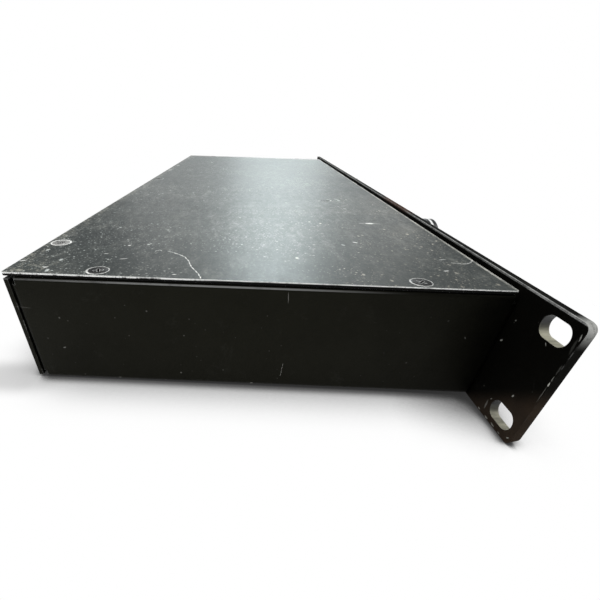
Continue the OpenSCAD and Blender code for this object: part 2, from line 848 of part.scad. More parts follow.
module status_lights() {
    color("#9fd7a4") for (p = LIGHTS) rod_y(p[0], p[1], light_r, panel_front - 0.4, front_board_y);
}

// Tact switch bodies, each with the bore its button's stem slides in
module button_switches() {
    color("#1f1f20") for (p = button_at) difference() {
        translate([p[0] - tact_w / 2, tact_front, p[1] - tact_w / 2])
            cube([tact_w, front_board_y - tact_front, tact_w]);
        rod_y(p[0], p[1], button_stem_r + run, tact_front - cut, front_board_y - tact_floor);
    }
}

// ---- Rotary controls ----------------------------------------------------

// Control body behind the panel with a threaded bush through it
module control_body(x, z, half, bush_r, shaft_r) {
    difference() {
        union() {
            block([x - half, control_front, z - half], [x + half, front_board_y, z + half]);
            rod_y(x, z, bush_r, panel_front - nut_t - 0.6, control_front);
        }
        rod_y(x, z, shaft_r + run, panel_front - nut_t - 1, front_board_y - 1);
    }
}

module encoder_body() {
    color("#7f8386") control_body(wheel_x, 0, 6.5, wheel_bush_r, wheel_shaft_r);
}

module pot_body() {
    color("#7f8386") control_body(monitor_x, knob_z, 5, knob_bush_r, knob_shaft_r);
}

module control_nuts() {
    color("#c2c5c8") {
        difference() {
            hex_y(wheel_x, 0, wheel_nut_r, panel_front - nut_t, panel_front);
            rod_y(wheel_x, 0, wheel_bush_r, panel_front - nut_t - cut, panel_front + cut);
        }
        difference() {
            hex_y(monitor_x, knob_z, knob_nut_r, panel_front - nut_t, panel_front);
            rod_y(monitor_x, knob_z, knob_bush_r, panel_front - nut_t - cut, panel_front + cut);
        }
    }
}

// Turned knob with a sunk back over its nut and a blind bore for its shaft
module turned_knob(x, z, r, proud, sink_r, shaft_r, dish) {
    h = proud - knob_gap;
    edge = 0.4;
    rim = edge + 0.8;
    sink = nut_t + 1.2;
    translate([x, panel_front - knob_gap, z]) rotate([90, 0, 0]) difference() {
        rotate_extrude() polygon([
            [0, 0], [r - 0.3, 0], [r, 0.3], [r, h - edge], [r - 0.12, h - 0.12], [r - edge, h],
            [r - rim, h], [r - rim - 0.8, h - dish], [0, h - dish]
        ]);
        translate([0, 0, -cut]) cylinder(r = sink_r, h = sink + cut);
        cylinder(r = shaft_r, h = h - 2);
    }
}

module data_wheel() {
    dimple_r = 11;
    dimple_at = wheel_r - 7.5;
    color("#191a1b") difference() {
        turned_knob(wheel_x, 0, wheel_r, wheel_proud, 8, wheel_shaft_r, 0.5);
        // finger dimple
        translate([wheel_x, panel_front - wheel_proud - dimple_r + 1.8, dimple_at]) sphere(dimple_r);
    }
}

module wheel_shaft() {
    color("#c2c5c8") rod_y(wheel_x, 0, wheel_shaft_r, panel_front - wheel_proud + 2, front_board_y - 1.5);
}

module level_knob() {
    flutes = 14;
    color("#191a1b") difference() {
        turned_knob(monitor_x, knob_z, knob_r, knob_proud, 4.8, knob_shaft_r, 0.3);
        for (i = [0 : flutes - 1]) translate([monitor_x, panel_front, knob_z])
            rotate([0, i * 360 / flutes, 0]) rod_y(0, knob_r + 0.35, 0.7, -knob_proud - cut, -knob_gap - 2);
        // pointer line
        block([monitor_x - 0.4, panel_front - knob_proud - cut, knob_z + 1.5],
              [monitor_x + 0.4, panel_front - knob_proud + 0.6, knob_z + knob_r + cut]);
    }
}

module knob_shaft() {
    color("#c2c5c8")
        rod_y(monitor_x, knob_z, knob_shaft_r, panel_front - knob_proud + 2, front_board_y - 1.5);
}

// Cap through the panel, collar behind it and stem into the switch
module push_button(i) {
    x = button_at[i][0];
    z = button_at[i][1];
    face = panel_front - button_proud;
    cone_y(x, z, button_r - cap_edge, button_r, face, face + cap_edge);
    rod_y(x, z, button_r, face + cap_edge, collar_front);
    rod_y(x, z, button_r + button_collar, collar_front, collar_front + collar_t);
    rod_y(x, z, button_stem_r, collar_front + collar_t, front_board_y - tact_floor - button_travel - gap);
}

module sync_button() {
    color("#2e3032") push_button(0);
}

module menu_button() {
    color("#2e3032") push_button(1);
}

module channel_a_button() {
    color("#2e3032") push_button(2);
}

module channel_b_button() {
    color("#2e3032") push_button(3);
}

// ---- Power switch -------------------------------------------------------

module power_switch_body() {
    cavity_w = rocker_w + 2 * gap;
    cavity_h = 2 * (rocker_r + gap);
    color("#141414") difference() {
        union() {
            along_y(panel_front - bezel_t, panel_front)
                translate([power_x, 0]) round_rect(bezel_w, bezel_h, 1);
            along_y(panel_front, switch_back)
                translate([power_x, 0]) square([switch_w, switch_h], center = true);
        }
        along_y(panel_front - bezel_t - cut, 9) translate([power_x, 0])
            square([cavity_w, cavity_h], center = true);
        along_x(power_x - rocker_w / 2 - 1 - gap, power_x + rocker_w / 2 + 1 + gap)
            translate([rocker_y, 0]) circle(rocker_pin_r + run);
    }
}

module power_rocker() {
    face_y = -4.6;
    slope = 0.14;
    color("#1c1c1c") translate([0, rocker_y, 0]) rotate([-rocker_tilt, 0, 0]) {
        along_x(power_x - rocker_w / 2, power_x + rocker_w / 2) intersection() {
            circle(rocker_r);
            polygon([
                [face_y, 0], [face_y - slope * rocker_r, rocker_r], [5, rocker_r],
                [5, -rocker_r], [face_y - slope * rocker_r, -rocker_r]
            ]);
        }
        along_x(power_x - rocker_w / 2 - 1, power_x + rocker_w / 2 + 1) circle(rocker_pin_r);
    }
}

// ---- Connectors ---------------------------------------------------------

// 6.35 mm jack socket with its mouth at y = 0 and its blind bore going along +Y
module jack_socket(bush, len) {
    difference() {
        union() {
            rod_y(0, 0, jack_bush_r, 0, bush);
            block([-jack_half, bush, -jack_half], [jack_half, len, jack_half]);
        }
        rod_y(0, 0, jack_r, -cut, len - 2);
    }
}

module headphone_jack() {
    color("#202122") translate([monitor_x, jack_front, headphone_z])
        jack_socket(-jack_front + lens_back, jack_len);
}

// Line jack at x in the rear panel
module line_jack(x) {
    translate([x, mouth, 0]) mirror([0, 1, 0]) jack_socket(flange_t + rear_t + lens_back, jack_len);
}

module line_jack_a() {
    color("#202122") line_jack(line_x[0]);
}

module line_jack_b() {
    color("#202122") line_jack(line_x[1]);
}

// Round nut with six grip notches on a jack's bush
module jack_nut(x, z, y0, y1) {
    difference() {
        rod_y(x, z, jack_nut_r, y0, y1);
        rod_y(x, z, jack_bush_r, y0 - cut, y1 + cut);
        for (i = [0 : 5]) translate([x, 0, z]) rotate([0, i * 60, 0])
            rod_y(0, jack_nut_r + 0.3, 0.8, y0 - cut, y1 + cut);
    }
}

module jack_nuts() {
    color("#c2c5c8") {
        jack_nut(monitor_x, headphone_z, panel_front - jack_nut_t, panel_front);
        for (x = line_x) jack_nut(x, 0, case_d, case_d + jack_nut_t);
    }
}

// Shell of a balanced output: square flange outside, round shell through the panel
module xlr_output(x) {
    difference() {
        union() {
            along_y(case_d, mouth) translate([x, 0]) round_rect(xlr_flange[0], xlr_flange[1], 3);
            rod_y(x, 0, xlr_shell_r, xlr_floor - xlr_insert_t, case_d);
        }
        rod_y(x, 0, xlr_cavity_r, xlr_floor - xlr_insert_t - cut, mouth + cut);
        // notch for the plug's latch at the top of the mouth
        block([x - xlr_notch[0] / 2, mouth - xlr_notch[1], 0],
              [x + xlr_notch[0] / 2, mouth + cut, xlr_cavity_r + xlr_notch[2]]);
        for (s = [-1, 1])
            rod_y(x - s * xlr_hole[0], s * xlr_hole[1], shank_r + fit, case_d - cut, mouth + cut);
    }
}

module xlr_output_a() {
    color("#1f2021") xlr_output(xlr_x[0]);
}

module xlr_output_b() {
    color("#1f2021") xlr_output(xlr_x[1]);
}

// Insulating discs that close the shells' inner ends, drilled for the contacts
module xlr_inserts() {
    color("#1c1c1c") for (x = xlr_x) difference() {
        rod_y(x, 0, xlr_cavity_r, xlr_floor - xlr_insert_t, xlr_floor);
        for (p = xlr_contacts(x))
            rod_y(p[0], p[1], xlr_pin_r, xlr_floor - xlr_insert_t - cut, xlr_floor + cut);
    }
}

module xlr_pins() {
    tip = 0.6;
    front = mouth - 2;
    color("#d8c48a") for (x = xlr_x) for (p = xlr_contacts(x)) {
        rod_y(p[0], p[1], xlr_pin_r, xlr_pin_back, front - tip);
        cone_y(p[0], p[1], xlr_pin_r, xlr_pin_r - tip, front - tip, front);
    }
}

// Bayonet aerial socket: body inside, neck through the panel, barrel outside
module antenna_socket(x) {
    neck_end = case_d + 3;
    barrel_end = case_d + 13.5;
    difference() {
        union() {
            block([x - 7, case_d - bnc_body, -7], [x + 7, rear_in, 7]);
            rod_y(x, 0, bnc_neck_r, rear_in, neck_end);
            rod_y(x, 0, bnc_r, neck_end, barrel_end);
            // bayonet studs
            along_x(x - bnc_r - 0.9, x + bnc_r + 0.9) translate([barrel_end - 4, 0]) circle(1);
        }
        rod_y(x, 0, bnc_r - 0.75, neck_end + 1.5, barrel_end + cut);
    }
    difference() {
        rod_y(x, 0, 2.4, neck_end + 1.5, barrel_end - 2.5);
        rod_y(x, 0, 0.7, neck_end + 3, barrel_end);
    }
}

module antenna_socket_a() {
    color("#b8bbbd") antenna_socket(antenna_x[0]);
}

module antenna_socket_b() {
    color("#b8bbbd") antenna_socket(antenna_x[1]);
}

module antenna_nuts() {
    color("#b8bbbd") for (x = antenna_x) difference() {
        hex_y(x, 0, bnc_neck_r + 1.9, case_d, case_d + bnc_nut_t);
        rod_y(x, 0, bnc_neck_r, case_d - cut, case_d + bnc_nut_t + cut);
    }
}

// Outline of the inlet's socket, its two upper corners cut off
module inlet_outline() {
    w = inlet_cavity[0] / 2;
    h = inlet_cavity[1] / 2;
    polygon([[-w, -h], [w, -h], [w, h - 4], [w - 4, h], [-w + 4, h], [-w, h - 4]]);
}

module mains_inlet() {
    color("#1a1a1b") difference() {
        union() {
            along_y(case_d, mouth) translate([inlet_x, 0]) round_rect(inlet_flange[0], inlet_flange[1], 3);
            along_y(inlet_body_back, case_d) translate([inlet_x, 0]) square(inlet_body, center = true);
        }
        along_y(inlet_floor, mouth + cut) translate([inlet_x, 0]) inlet_outline();
        for (p = inlet_pin_at) along_y(inlet_body_back - cut, inlet_floor + cut)
            translate([inlet_x + p[0], p[1]]) square(inlet_pin, center = true);
        for (s = [-1, 1])
            rod_y(inlet_x + s * inlet_hole, 0, shank_r + fit, case_d - cut, mouth + cut);
    }
}

module mains_pins() {
    color("#c9ccce") for (p = inlet_pin_at) along_y(inlet_pin_back, mouth - 3)
        translate([inlet_x + p[0], p[1]]) square(inlet_pin, center = true);
}

module level_switches() {
    color("#2a2b2c") for (x = level_x) difference() {
        block([x - 7, rear_in - 6, -3.5], [x + 7, rear_in, 3.5]);
        block([x - slider_slot_w / 2, rear_in - slider_depth, -slider_slot_h / 2],
              [x + slider_slot_w / 2, rear_in + cut, slider_slot_h / 2]);
    }
}

// Slider at the end of its travel towards -X
module level_slider(x) {
    left = x - (slider_w + slider_travel) / 2;
    block([left, rear_in - slider_depth + gap, -slider_h / 2], [left + slider_w, case_d + 1.6, slider_h / 2]);
}

module level_slider_a() {
    color("#e6e6e2") level_slider(level_x[0]);
}

module level_slider_b() {
    color("#e6e6e2") level_slider(level_x[1]);
}

module internal_wiring() {
    back = front_board_y + board_t;
    ribbon_t = 0.9;
    ribbon_end = MAIN[1] + 14;
    inner = case_d - bnc_body;
    color("#8f9498") {
        // ribbon from the front board through the brace to the main board
        block([ribbon_x - ribbon_w / 2, back, -5 - ribbon_t], [ribbon_x + ribbon_w / 2, ribbon_end, -5]);
        block([ribbon_x - ribbon_w / 2, ribbon_end - ribbon_t, board_top],
              [ribbon_x + ribbon_w / 2, ribbon_end, -5]);
        // aerial leads to the two receivers
        lead(antenna_x[0], 0, 1.2, inner, RADIO_A[3] - 2.6, board_top);
        lead(antenna_x[1], 0, 1.2, inner, RADIO_B[3] - 2.4, board_top);
    }
    color("#5b3a22") {
        // mains leads from the inlet and from the power switch
        for (s = [-1, 1]) {
            lead(inlet_x + s * inlet_pin_at[1][0], inlet_pin_at[1][1], 0.9, inlet_pin_back, POWER[3] - 3,
                 board_top);
            lead(power_x + s * 3, -5, 0.9, switch_back, POWER[1] + 5, board_top);
        }
    }
    color("#3c4146") {
        // audio leads of the headphone jack, the outputs and the level switches
        for (s = [-1, 1])
            lead(monitor_x + s * 3, headphone_z, 0.5, jack_front + jack_len, MAIN[1] + 3, board_top);
        for (x = xlr_x) for (p = xlr_contacts(x))
            lead(p[0], p[1], 0.5, xlr_pin_back, MAIN[3] - 9, board_top);
        for (x = level_x) for (s = [-1, 1])
            lead(x + s * 3, 0, 0.5, rear_in - 6, MAIN[3] - 4, board_top);
        for (x = line_x) for (s = [-1, 1])
            translate([x + s * 3, MAIN[3] - 5, board_top]) cylinder(r = 0.5, h = -jack_half - board_top);
    }
}

// ---- Output -------------------------------------------------------------

chassis_tray();
rear_panel();
top_cover();
front_panel();
cross_brace();
clinch_nuts();
cover_screws();
front_panel_screws();
rear_panel_screws();
connector_screws();
board_standoffs();
front_board_spacers();
board_screws();
main_board();
main_board_parts();
power_board();
power_transformer();
power_heatsink();
power_capacitors();
receiver_board_a();
receiver_board_b();
shield_can_a();
shield_can_b();
front_board();
display_module_a();
display_module_b();
display_windows();
sync_window();
status_lights();
button_switches();
encoder_body();
pot_body();
control_nuts();
headphone_jack();
jack_nuts();
power_switch_body();
power_rocker();
data_wheel();
wheel_shaft();
level_knob();
knob_shaft();
sync_button();
menu_button();
channel_a_button();
channel_b_button();
line_jack_a();
line_jack_b();
xlr_output_a();
xlr_output_b();
xlr_inserts();
xlr_pins();
antenna_socket_a();
antenna_socket_b();
antenna_nuts();
mains_inlet();
mains_pins();
level_switches();
level_slider_a();
level_slider_b();
internal_wiring();
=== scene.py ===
# Rack-mounted wireless receiver unit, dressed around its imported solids.
# The file follows the unit as it is put together: studio, case, cover, front, rear, inside.
import math
from functools import partialmethod

import bmesh
import bpy
from mathutils import Matrix, Vector


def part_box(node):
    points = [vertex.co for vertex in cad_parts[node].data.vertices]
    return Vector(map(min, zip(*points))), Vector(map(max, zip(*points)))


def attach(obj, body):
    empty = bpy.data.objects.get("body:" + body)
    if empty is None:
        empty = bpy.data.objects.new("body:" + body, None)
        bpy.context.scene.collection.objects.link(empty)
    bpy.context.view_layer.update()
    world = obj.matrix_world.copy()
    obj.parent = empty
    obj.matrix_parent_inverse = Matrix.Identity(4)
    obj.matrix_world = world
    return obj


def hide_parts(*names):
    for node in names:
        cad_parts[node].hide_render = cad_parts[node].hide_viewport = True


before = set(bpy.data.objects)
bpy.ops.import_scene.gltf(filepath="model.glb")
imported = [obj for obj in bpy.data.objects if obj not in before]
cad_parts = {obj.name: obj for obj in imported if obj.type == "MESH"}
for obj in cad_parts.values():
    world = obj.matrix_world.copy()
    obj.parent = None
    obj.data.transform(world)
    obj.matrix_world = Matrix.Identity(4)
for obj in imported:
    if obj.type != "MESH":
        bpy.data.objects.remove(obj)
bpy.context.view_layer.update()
MM = 0.001

# ---- Studio: pale floor, soft lights and the camera ----
# A plain pale sweep lies under the unit's two resting edges, with painted shadow round it. A tall
# soft window stands beyond the far ear, a large soft panel hangs overhead, and the room itself is
# dim.
panel_lo, panel_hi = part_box("front_panel")
tray_lo, tray_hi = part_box("chassis_tray")


def add(tree, kind, sockets=None, **settings):
    """Adds a node to a tree. sockets gives inputs by name or number: values, fields or nodes.

    A node given as an input stands for its first output.
    """
    made = tree.nodes.new(kind)
    for key, value in settings.items():
        setattr(made, key, value)
    for key, value in (sockets or {}).items():
        value = getattr(value, "socket", value)
        if isinstance(value, bpy.types.Node):
            value = value.outputs[0]
        if isinstance(value, bpy.types.NodeSocket):
            tree.links.new(value, made.inputs[key])
        else:
            made.inputs[key].default_value = value
    return made


class Field:
    """A value that nodes give at each point. Sums of fields add their nodes to the tree."""

    def __init__(self, socket):
        self.socket, self.tree = socket, socket.id_data

    def reckoned(self, kind, *others):
        """A Math node's result, of the field and what others it takes."""
        return reckon(kind, self, *others)

    __add__, __sub__ = partialmethod(reckoned, "ADD"), partialmethod(reckoned, "SUBTRACT")
    __mul__, __truediv__ = partialmethod(reckoned, "MULTIPLY"), partialmethod(reckoned, "DIVIDE")
    __gt__, __lt__ = partialmethod(reckoned, "GREATER_THAN"), partialmethod(reckoned, "LESS_THAN")
    __abs__ = partialmethod(reckoned, "ABSOLUTE")

    def ramp(self, low, high, to_low=0.0, to_high=1.0):
        """The field mapped from low..high to to_low..to_high, smoothly and held at both ends."""
        sockets = {0: self, 1: low, 2: high, 3: to_low, 4: to_high}
        return field(self.tree, "ShaderNodeMapRange", sockets, interpolation_type="SMOOTHSTEP")

    def band(self, middle, half):
        """1 where the field is at the middle of a band, falling to 0 at half its width away."""
        return abs(self - middle).ramp(half, half * 0.45)


def field(tree, kind, sockets, output=0, **settings):
    """Adds a node and gives one of its outputs as a field."""
    return Field(add(tree, kind, sockets, **settings).outputs[output])


def reckon(kind, *values):
    """A Math node's result."""
    tree = next(value.tree for value in values if isinstance(value, Field))
    return field(tree, "ShaderNodeMath", dict(enumerate((*values, 0.0, 0.0)[:3])), operation=kind)


def grey(level):
    """A neutral colour."""
    return (level, level, level)


def blend(amount, first, second):
    """Two colours mixed by an amount from 0 to 1."""
    first, second = ((*rgb, 1.0) if isinstance(rgb, tuple) else rgb for rgb in (first, second))
    return field(amount.tree, "ShaderNodeMix", {0: amount, 6: first, 7: second}, 2, data_type="RGBA")


EVEN = (1.0, 1.0, 1.0)


class Finish:
    """A material that is built up in layers of colour over its first one."""

    def __init__(self, name, rgb, rough, metal=0.0, specular=0.5):
        self.material = bpy.data.materials.new(name)
        self.material.use_nodes = True
        self.tree = self.material.node_tree
        self.shader = self.tree.nodes["Principled BSDF"]
        self.colour = rgb
        self.put("Base Color", (*rgb, 1.0))
        self.put("Roughness", rough)
        self.put("Metallic", metal)
        self.put("Specular IOR Level", specular)

    def put(self, name, value):
        """Gives the shader one of its inputs, as a value or a field."""
        if isinstance(value, Field):
            self.tree.links.new(value.socket, self.shader.inputs[name])
        else:
            self.shader.inputs[name].default_value = value

    def ground(self, amount, first, second):
        """Starts the layers again from two colours mixed by an amount."""
        self.colour = blend(amount, first, second)
        self.put("Base Color", self.colour)

    def layer(self, amount, colour):
        """Lays a colour over those below, as far as the amount says."""
        self.ground(amount, self.colour, colour)

    def spot(self):
        """The part's own coordinates, in metres."""
        return self.tree.nodes.new("ShaderNodeTexCoord").outputs["Object"]

    def axes(self):
        """The X, Y and Z of the part's own coordinates."""
        parts = add(self.tree, "ShaderNodeSeparateXYZ", {0: self.spot()})
        return [Field(part) for part in parts.outputs]

    def place(self, stretch=EVEN):
        """The part's own coordinates, each times a number."""
        return field(self.tree, "ShaderNodeMapping", {0: self.spot(), "Scale": stretch})

    def noise(self, scale, detail=3.0, rough=0.5, stretch=EVEN, twist=0.0):
        """Soft noise from 0 to 1."""
        return field(self.tree, "ShaderNodeTexNoise", {
            "Vector": self.place(stretch), "Scale": scale, "Detail": detail,
            "Roughness": rough, "Distortion": twist,
        })


def camera_sees(tree, seen, otherwise):
    """One shader for the camera's own rays and another for the rest."""
    ray = tree.nodes.new("ShaderNodeLightPath").outputs["Is Camera Ray"]
    return add(tree, "ShaderNodeMixShader", {0: ray, 1: otherwise, 2: seen})


def new_object(name, data):
    """An object in the scene for a mesh, curve, lamp or camera."""
    made = bpy.data.objects.new(name, data)
    bpy.context.collection.objects.link(made)
    return made


FLOOR_SIZE = 24.0
rest_tilt = math.atan2(tray_lo.z - panel_lo.z, tray_hi.y)
bpy.ops.mesh.primitive_plane_add(size=FLOOR_SIZE)
floor = bpy.context.object
floor.name = "studio_floor"
floor.data.transform(
    Matrix.Translation((0, 0, panel_lo.z)) @ Matrix.Rotation(rest_tilt, 4, "X")
)
floor_paper = Finish("floor_paper", grey(0.86), 0.9, specular=0.1)
floor_paper.ground(floor_paper.noise(30.0), grey(0.85), grey(0.87))
tree = floor_paper.tree
open_sky, under_edge = (
    field(tree, "ShaderNodeAmbientOcclusion", {"Distance": reach}, "AO", samples=16)
    for reach in (0.034, 0.007)
)
at_x, at_y, at_z = floor_paper.axes()
# a painted soft shadow lies on the floor round the case's near rear corner
painted_corner_shadow = (
    at_x.ramp(tray_lo.x - 0.017, tray_lo.x - 0.003) * at_x.ramp(tray_lo.x + 0.016, tray_lo.x)
    * at_y.ramp(0.15, 0.172) * at_y.ramp(0.215, 0.178)
)
# painted shadow: where the camera sees it, the floor glows white, darkened by ambient occlusion near
# the unit and under its edges
painted_floor_shade = (
    open_sky.ramp(0.22, 0.92) * under_edge.ramp(0.5, 0.9, 0.15, 1.0)
    * painted_corner_shadow.ramp(0.0, 1.0, 1.0, 0.66)
)
white = add(tree, "ShaderNodeEmission", {0: blend(painted_floor_shade, grey(0.03), grey(1.0))})
paper = camera_sees(tree, white, floor_paper.shader)
tree.links.new(paper.outputs[0], tree.nodes["Material Output"].inputs[0])
floor.data.materials.append(floor_paper.material)

world = bpy.data.worlds.new("studio")
bpy.context.scene.world = world
world.use_nodes = True
tree = world.node_tree
tree.nodes.clear()
seen = add(tree, "ShaderNodeBackground", {0: (1.0, 1.0, 1.0, 1.0), 1: 1.0})
room = add(tree, "ShaderNodeBackground", {0: (0.84, 0.87, 0.9, 1.0), 1: 0.28})
add(tree, "ShaderNodeOutputWorld", {0: camera_sees(tree, seen, room)})


def soft_panel(name, at, towards, size, watts, rgb):
    """A rectangular soft light that the camera doesn't see; size is width and height."""
    lamp = bpy.data.lights.new(name, "AREA")
    lamp.shape = "RECTANGLE"
    lamp.size, lamp.size_y = size
    lamp.energy, lamp.color = watts, rgb
    held = new_object(name, lamp)
    held.location = at
    held.rotation_euler = (Vector(towards) - Vector(at)).to_track_quat("-Z", "Y").to_euler()
    held.visible_camera = False


UNIT_TOP = (0, 0.08, 0.02)
soft_panel("overhead_panel", (-0.2, 0.1, 2.2), (0, 0.08, 0), (3.2, 3.2), 75.0, grey(1.0))
soft_panel("far_window", (2.3, -0.08, 0.85), UNIT_TOP, (0.6, 1.4), 2.0, (0.86, 0.975, 1.0))
soft_panel("window_top", (2.3, -0.09, 1.22), UNIT_TOP, (0.5, 0.6), 8.7, (0.84, 0.975, 0.99))
soft_panel("window_glow", (2.4, -0.07, 0.85), UNIT_TOP, (2.2, 1.4), 6.6, (0.95, 0.985, 0.98))

eye = Vector((-0.32411, 0.08716, 0.06179))
looking = Vector((0.79437, 0.01594, -0.60723)).normalized()
upward = Vector((0.60624, 0.04201, 0.79417)).normalized()
rightward = looking.cross(upward).normalized()
optics = bpy.data.cameras.new("camera")
optics.sensor_width = 36.0
optics.lens = 21.1278
optics.shift_x = 0.104733
optics.shift_y = 0.1426
optics.clip_start = 0.005
optics.clip_end = 50.0
camera = new_object("camera", optics)
camera.matrix_world = (
    Matrix.Translation(eye) @ Matrix((rightward, upward, -looking)).transposed().to_4x4()
)
bpy.context.scene.camera = camera
bpy.context.scene.view_settings.view_transform = "Standard"
bpy.context.scene.view_settings.look = "None"

# ---- Case: tray and rear panel ----
# The tray is one folded steel sheet and the rear panel a second one, both in satin black powder coat
# that has rubbed through to a lighter grey at its edges, with a painted highlight along the side
# walls' top fold.
ACROSS, ALONG, UPWARD = Vector((1, 0, 0)), Vector((0, 1, 0)), Vector((0, 0, 1))
TO_NUMBER = ("DOT_PRODUCT", "DISTANCE", "LENGTH")


def vectors(on, kind, *values):
    """A Vector Math node's result on a finish: a number for a dot product, distance or length."""
    output = "Value" if kind in TO_NUMBER else "Vector"
    return field(on.tree, "ShaderNodeVectorMath", dict(enumerate(values)), output, operation=kind)


def give(finish, *node_names):
    """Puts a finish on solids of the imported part."""
    for node_name in node_names:
        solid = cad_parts[node_name]
        solid.data.materials.clear()
        solid.data.materials.append(finish.material)


def shaded(rgb, share):
    """A colour made lighter or darker."""
    return tuple(c * share for c in rgb)


def rubbed_edges(on, width, low, high):
    """1 along sharp edges, 0 on the flats, broken up as rubbing leaves it."""
    rounded = add(on.tree, "ShaderNodeBevel", {"Radius": width}, samples=6)
    flat = on.tree.nodes.new("ShaderNodeNewGeometry").outputs["Normal"]
    edge = vectors(on, "DOT_PRODUCT", rounded, flat).ramp(0.995, 0.86)
    return edge * on.noise(180.0, 5.0, 0.7).ramp(low, high)


def specks(on, scale, size, share, stretch=EVEN):
    """Scattered dust grains, some bright and most faint. share is how many cells hold one."""
    sockets = {"Vector": on.place(stretch), "Scale": scale, "Randomness": 1.0}
    cells = add(on.tree, "ShaderNodeTexVoronoi", sockets)
    luck = field(on.tree, "ShaderNodeTexWhiteNoise", {0: cells.outputs["Position"]}, "Value")
    inside = Field(cells.outputs["Distance"]).ramp(size, size * 0.3)
    return inside * luck.ramp(share, share * 0.1)


def near(on, point, radius):
    """1 at a point of the part, falling to 0 at a radius from it."""
    return vectors(on, "DISTANCE", on.spot(), point).ramp(radius, 0.0)


def bump(on, height, strength, distance):
    """Raises the surface of a finish by a height field."""
    sockets = {"Strength": strength, "Distance": distance, "Height": height}
    on.put("Normal", field(on.tree, "ShaderNodeBump", sockets))


def grained(on, scale, strength, distance, detail=2.0):
    """Gives a finish a fine grain."""
    bump(on, on.noise(scale, detail), strength, distance)


def shaken(on, scale, reach):
    """The part's coordinates shaken by noise, so that what they place has ragged edges."""
    shake = add(on.tree, "ShaderNodeTexNoise", {"Vector": on.place(), "Scale": scale, "Detail": 4.0})
    shake = vectors(on, "SUBTRACT", shake.outputs["Color"], grey(0.5))
    shake = add(on.tree, "ShaderNodeVectorMath", {0: shake, "Scale": reach}, operation="SCALE")
    return vectors(on, "ADD", on.place(), shake)


def strokes(on, paths, face, where):
    """How far the paint is gone along strokes on a face, which is its origin and two axes.

    Each stroke is half its width in mm, its strength, and two or more points in mm along
    those axes.
    """
    origin, first, second = face
    basis = Matrix((first, second, first.cross(second))).transposed()
    total = 0.0
    for half, strength, *way in paths:
        points = list(zip(way[::2], way[1::2]))
        if len(points) > 2:  # the corners of a longer stroke are rounded
            ends = [points[0]] + points + [points[-1]]
            halfway = [
                tuple((9 * (q + r) - p - t) / 16 for p, q, r, t in zip(*four))
                for four in zip(ends, ends[1:], ends[2:], ends[3:])
            ]
            points = [spot for pair in zip(points, halfway) for spot in pair] + [points[-1]]
        for (a, b), (c, d) in zip(points, points[1:]):
            middle = origin + (first * (a + c) + second * (b + d)) * (0.5 * MM)
            reach = (0.6 * math.hypot(c - a, d - b) + 0.7 * half) * MM
            turn = (basis @ Matrix.Rotation(math.atan2(d - b, c - a), 3, "Z")).to_euler()
            own = add(on.tree, "ShaderNodeMapping", {
                0: where, "Location": middle, "Rotation": turn, "Scale": (reach, half * MM, 0.003),
            }, vector_type="TEXTURE")
            away = vectors(on, "LENGTH", own)
            total = reckon("MAXIMUM", total, away.ramp(1.0, 0.45) * strength)
    return total


def powder_coat(name, rgb, rough, specular, worn_rgb, wear, dusty=0.25):
    """Satin black paint with its fine texture, a little dust and rubbed edges."""
    coat = Finish(name, rgb, rough, specular=specular)
    coat.put("Specular Tint", (1.0, 0.98, 0.7, 1.0))
    cloud = coat.noise(14.0, 4.0, 0.6)
    coat.layer(cloud.ramp(0.35, 0.7), shaded(rgb, 1.5))
    runs = coat.noise(45.0, 4.0, 0.6, (1.0, 1.0, 0.07))
    coat.layer(runs.ramp(0.62, 0.8) * 0.16, (0.09, 0.085, 0.07))
    smudges = coat.noise(70.0, 6.0, 0.8, twist=0.5)
    coat.layer(smudges.ramp(0.56, 0.8) * 0.1, (0.12, 0.12, 0.11))
    for scale, size, share, strength in ((300.0, 0.14, 0.16, 1.0), (640.0, 0.2, 0.1, 0.5)):
        dust = specks(coat, scale, size, share) * cloud.ramp(0.4, 0.6, 0.3, 1.0)
        coat.layer(dust * (dusty * strength), (0.5, 0.49, 0.45))
    coat.layer(rubbed_edges(coat, 0.0005, *wear), worn_rgb)
    mottle = coat.noise(60.0, 4.0, 0.65)
    coat.put("Roughness", mottle.ramp(0.3, 0.75, rough - 0.05, rough + 0.09))
    grained(coat, 1500.0, 0.10, 0.0004)
    return coat


cover_lo, cover_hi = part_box("top_cover")
tray_coat = powder_coat(
    "tray_coat", (0.0032, 0.0032, 0.0024), 0.5, 0.11, (0.15, 0.15, 0.145), (0.42, 0.62),
)
at_x, at_y, at_z = tray_coat.axes()
# painted highlight: a light grey line along the side walls' top fold, where the bend catches light
painted_fold_highlight = (
    at_z.band(cover_lo.z - 0.0011, 0.00036) * at_y.ramp(0.03, 0.085)
    * at_y.ramp(0.17, 0.115, 0.35, 1.0)
    * tray_coat.noise(90.0, 5.0, 0.75).ramp(0.22, 0.5, 0.5, 1.0)
    * (abs(at_x) > tray_hi.x - 0.0019)
)
tray_coat.layer(painted_fold_highlight, (0.22, 0.22, 0.215))
# painted shade: the side walls darken towards the front panel
tray_coat.layer(at_y.ramp(0.06, 0.0) * (abs(at_x) > tray_hi.x - 0.002), grey(0.0002))
# chips and scratches of the near wall: half width in mm, strength, points in mm
wall_marks = [
    (0.09, 0.55, -73.2, -16, -72.9, -13.2, -72.7, -10.3), (0.12, 0.3, -73.4, 13.4, -73.7, 17.2),
    (0.35, 0.6, -84.3, -20.1, -83.6, -19.9), (0.2, 0.5, -117.6, -20.5, -116.4, -20.5),
    (0.2, 0.4, -135.4, -19.9, -134.4, -19.8), (0.3, 0.3, -153.5, -7.3, -152.8, -7),
    (0.3, 0.06, -166.5, 8.5, -160.5, 8.1), (0.25, 0.15, -11.7, 3.5, -11.4, 3),
]
near_wall = (Vector((tray_lo.x, 0, 0)), -ALONG, UPWARD)
pale_marks = strokes(tray_coat, wall_marks, near_wall, shaken(tray_coat, 900.0, 0.0004))
tray_coat.layer(pale_marks, (0.5, 0.49, 0.46))
give(tray_coat, "chassis_tray", "rear_panel")
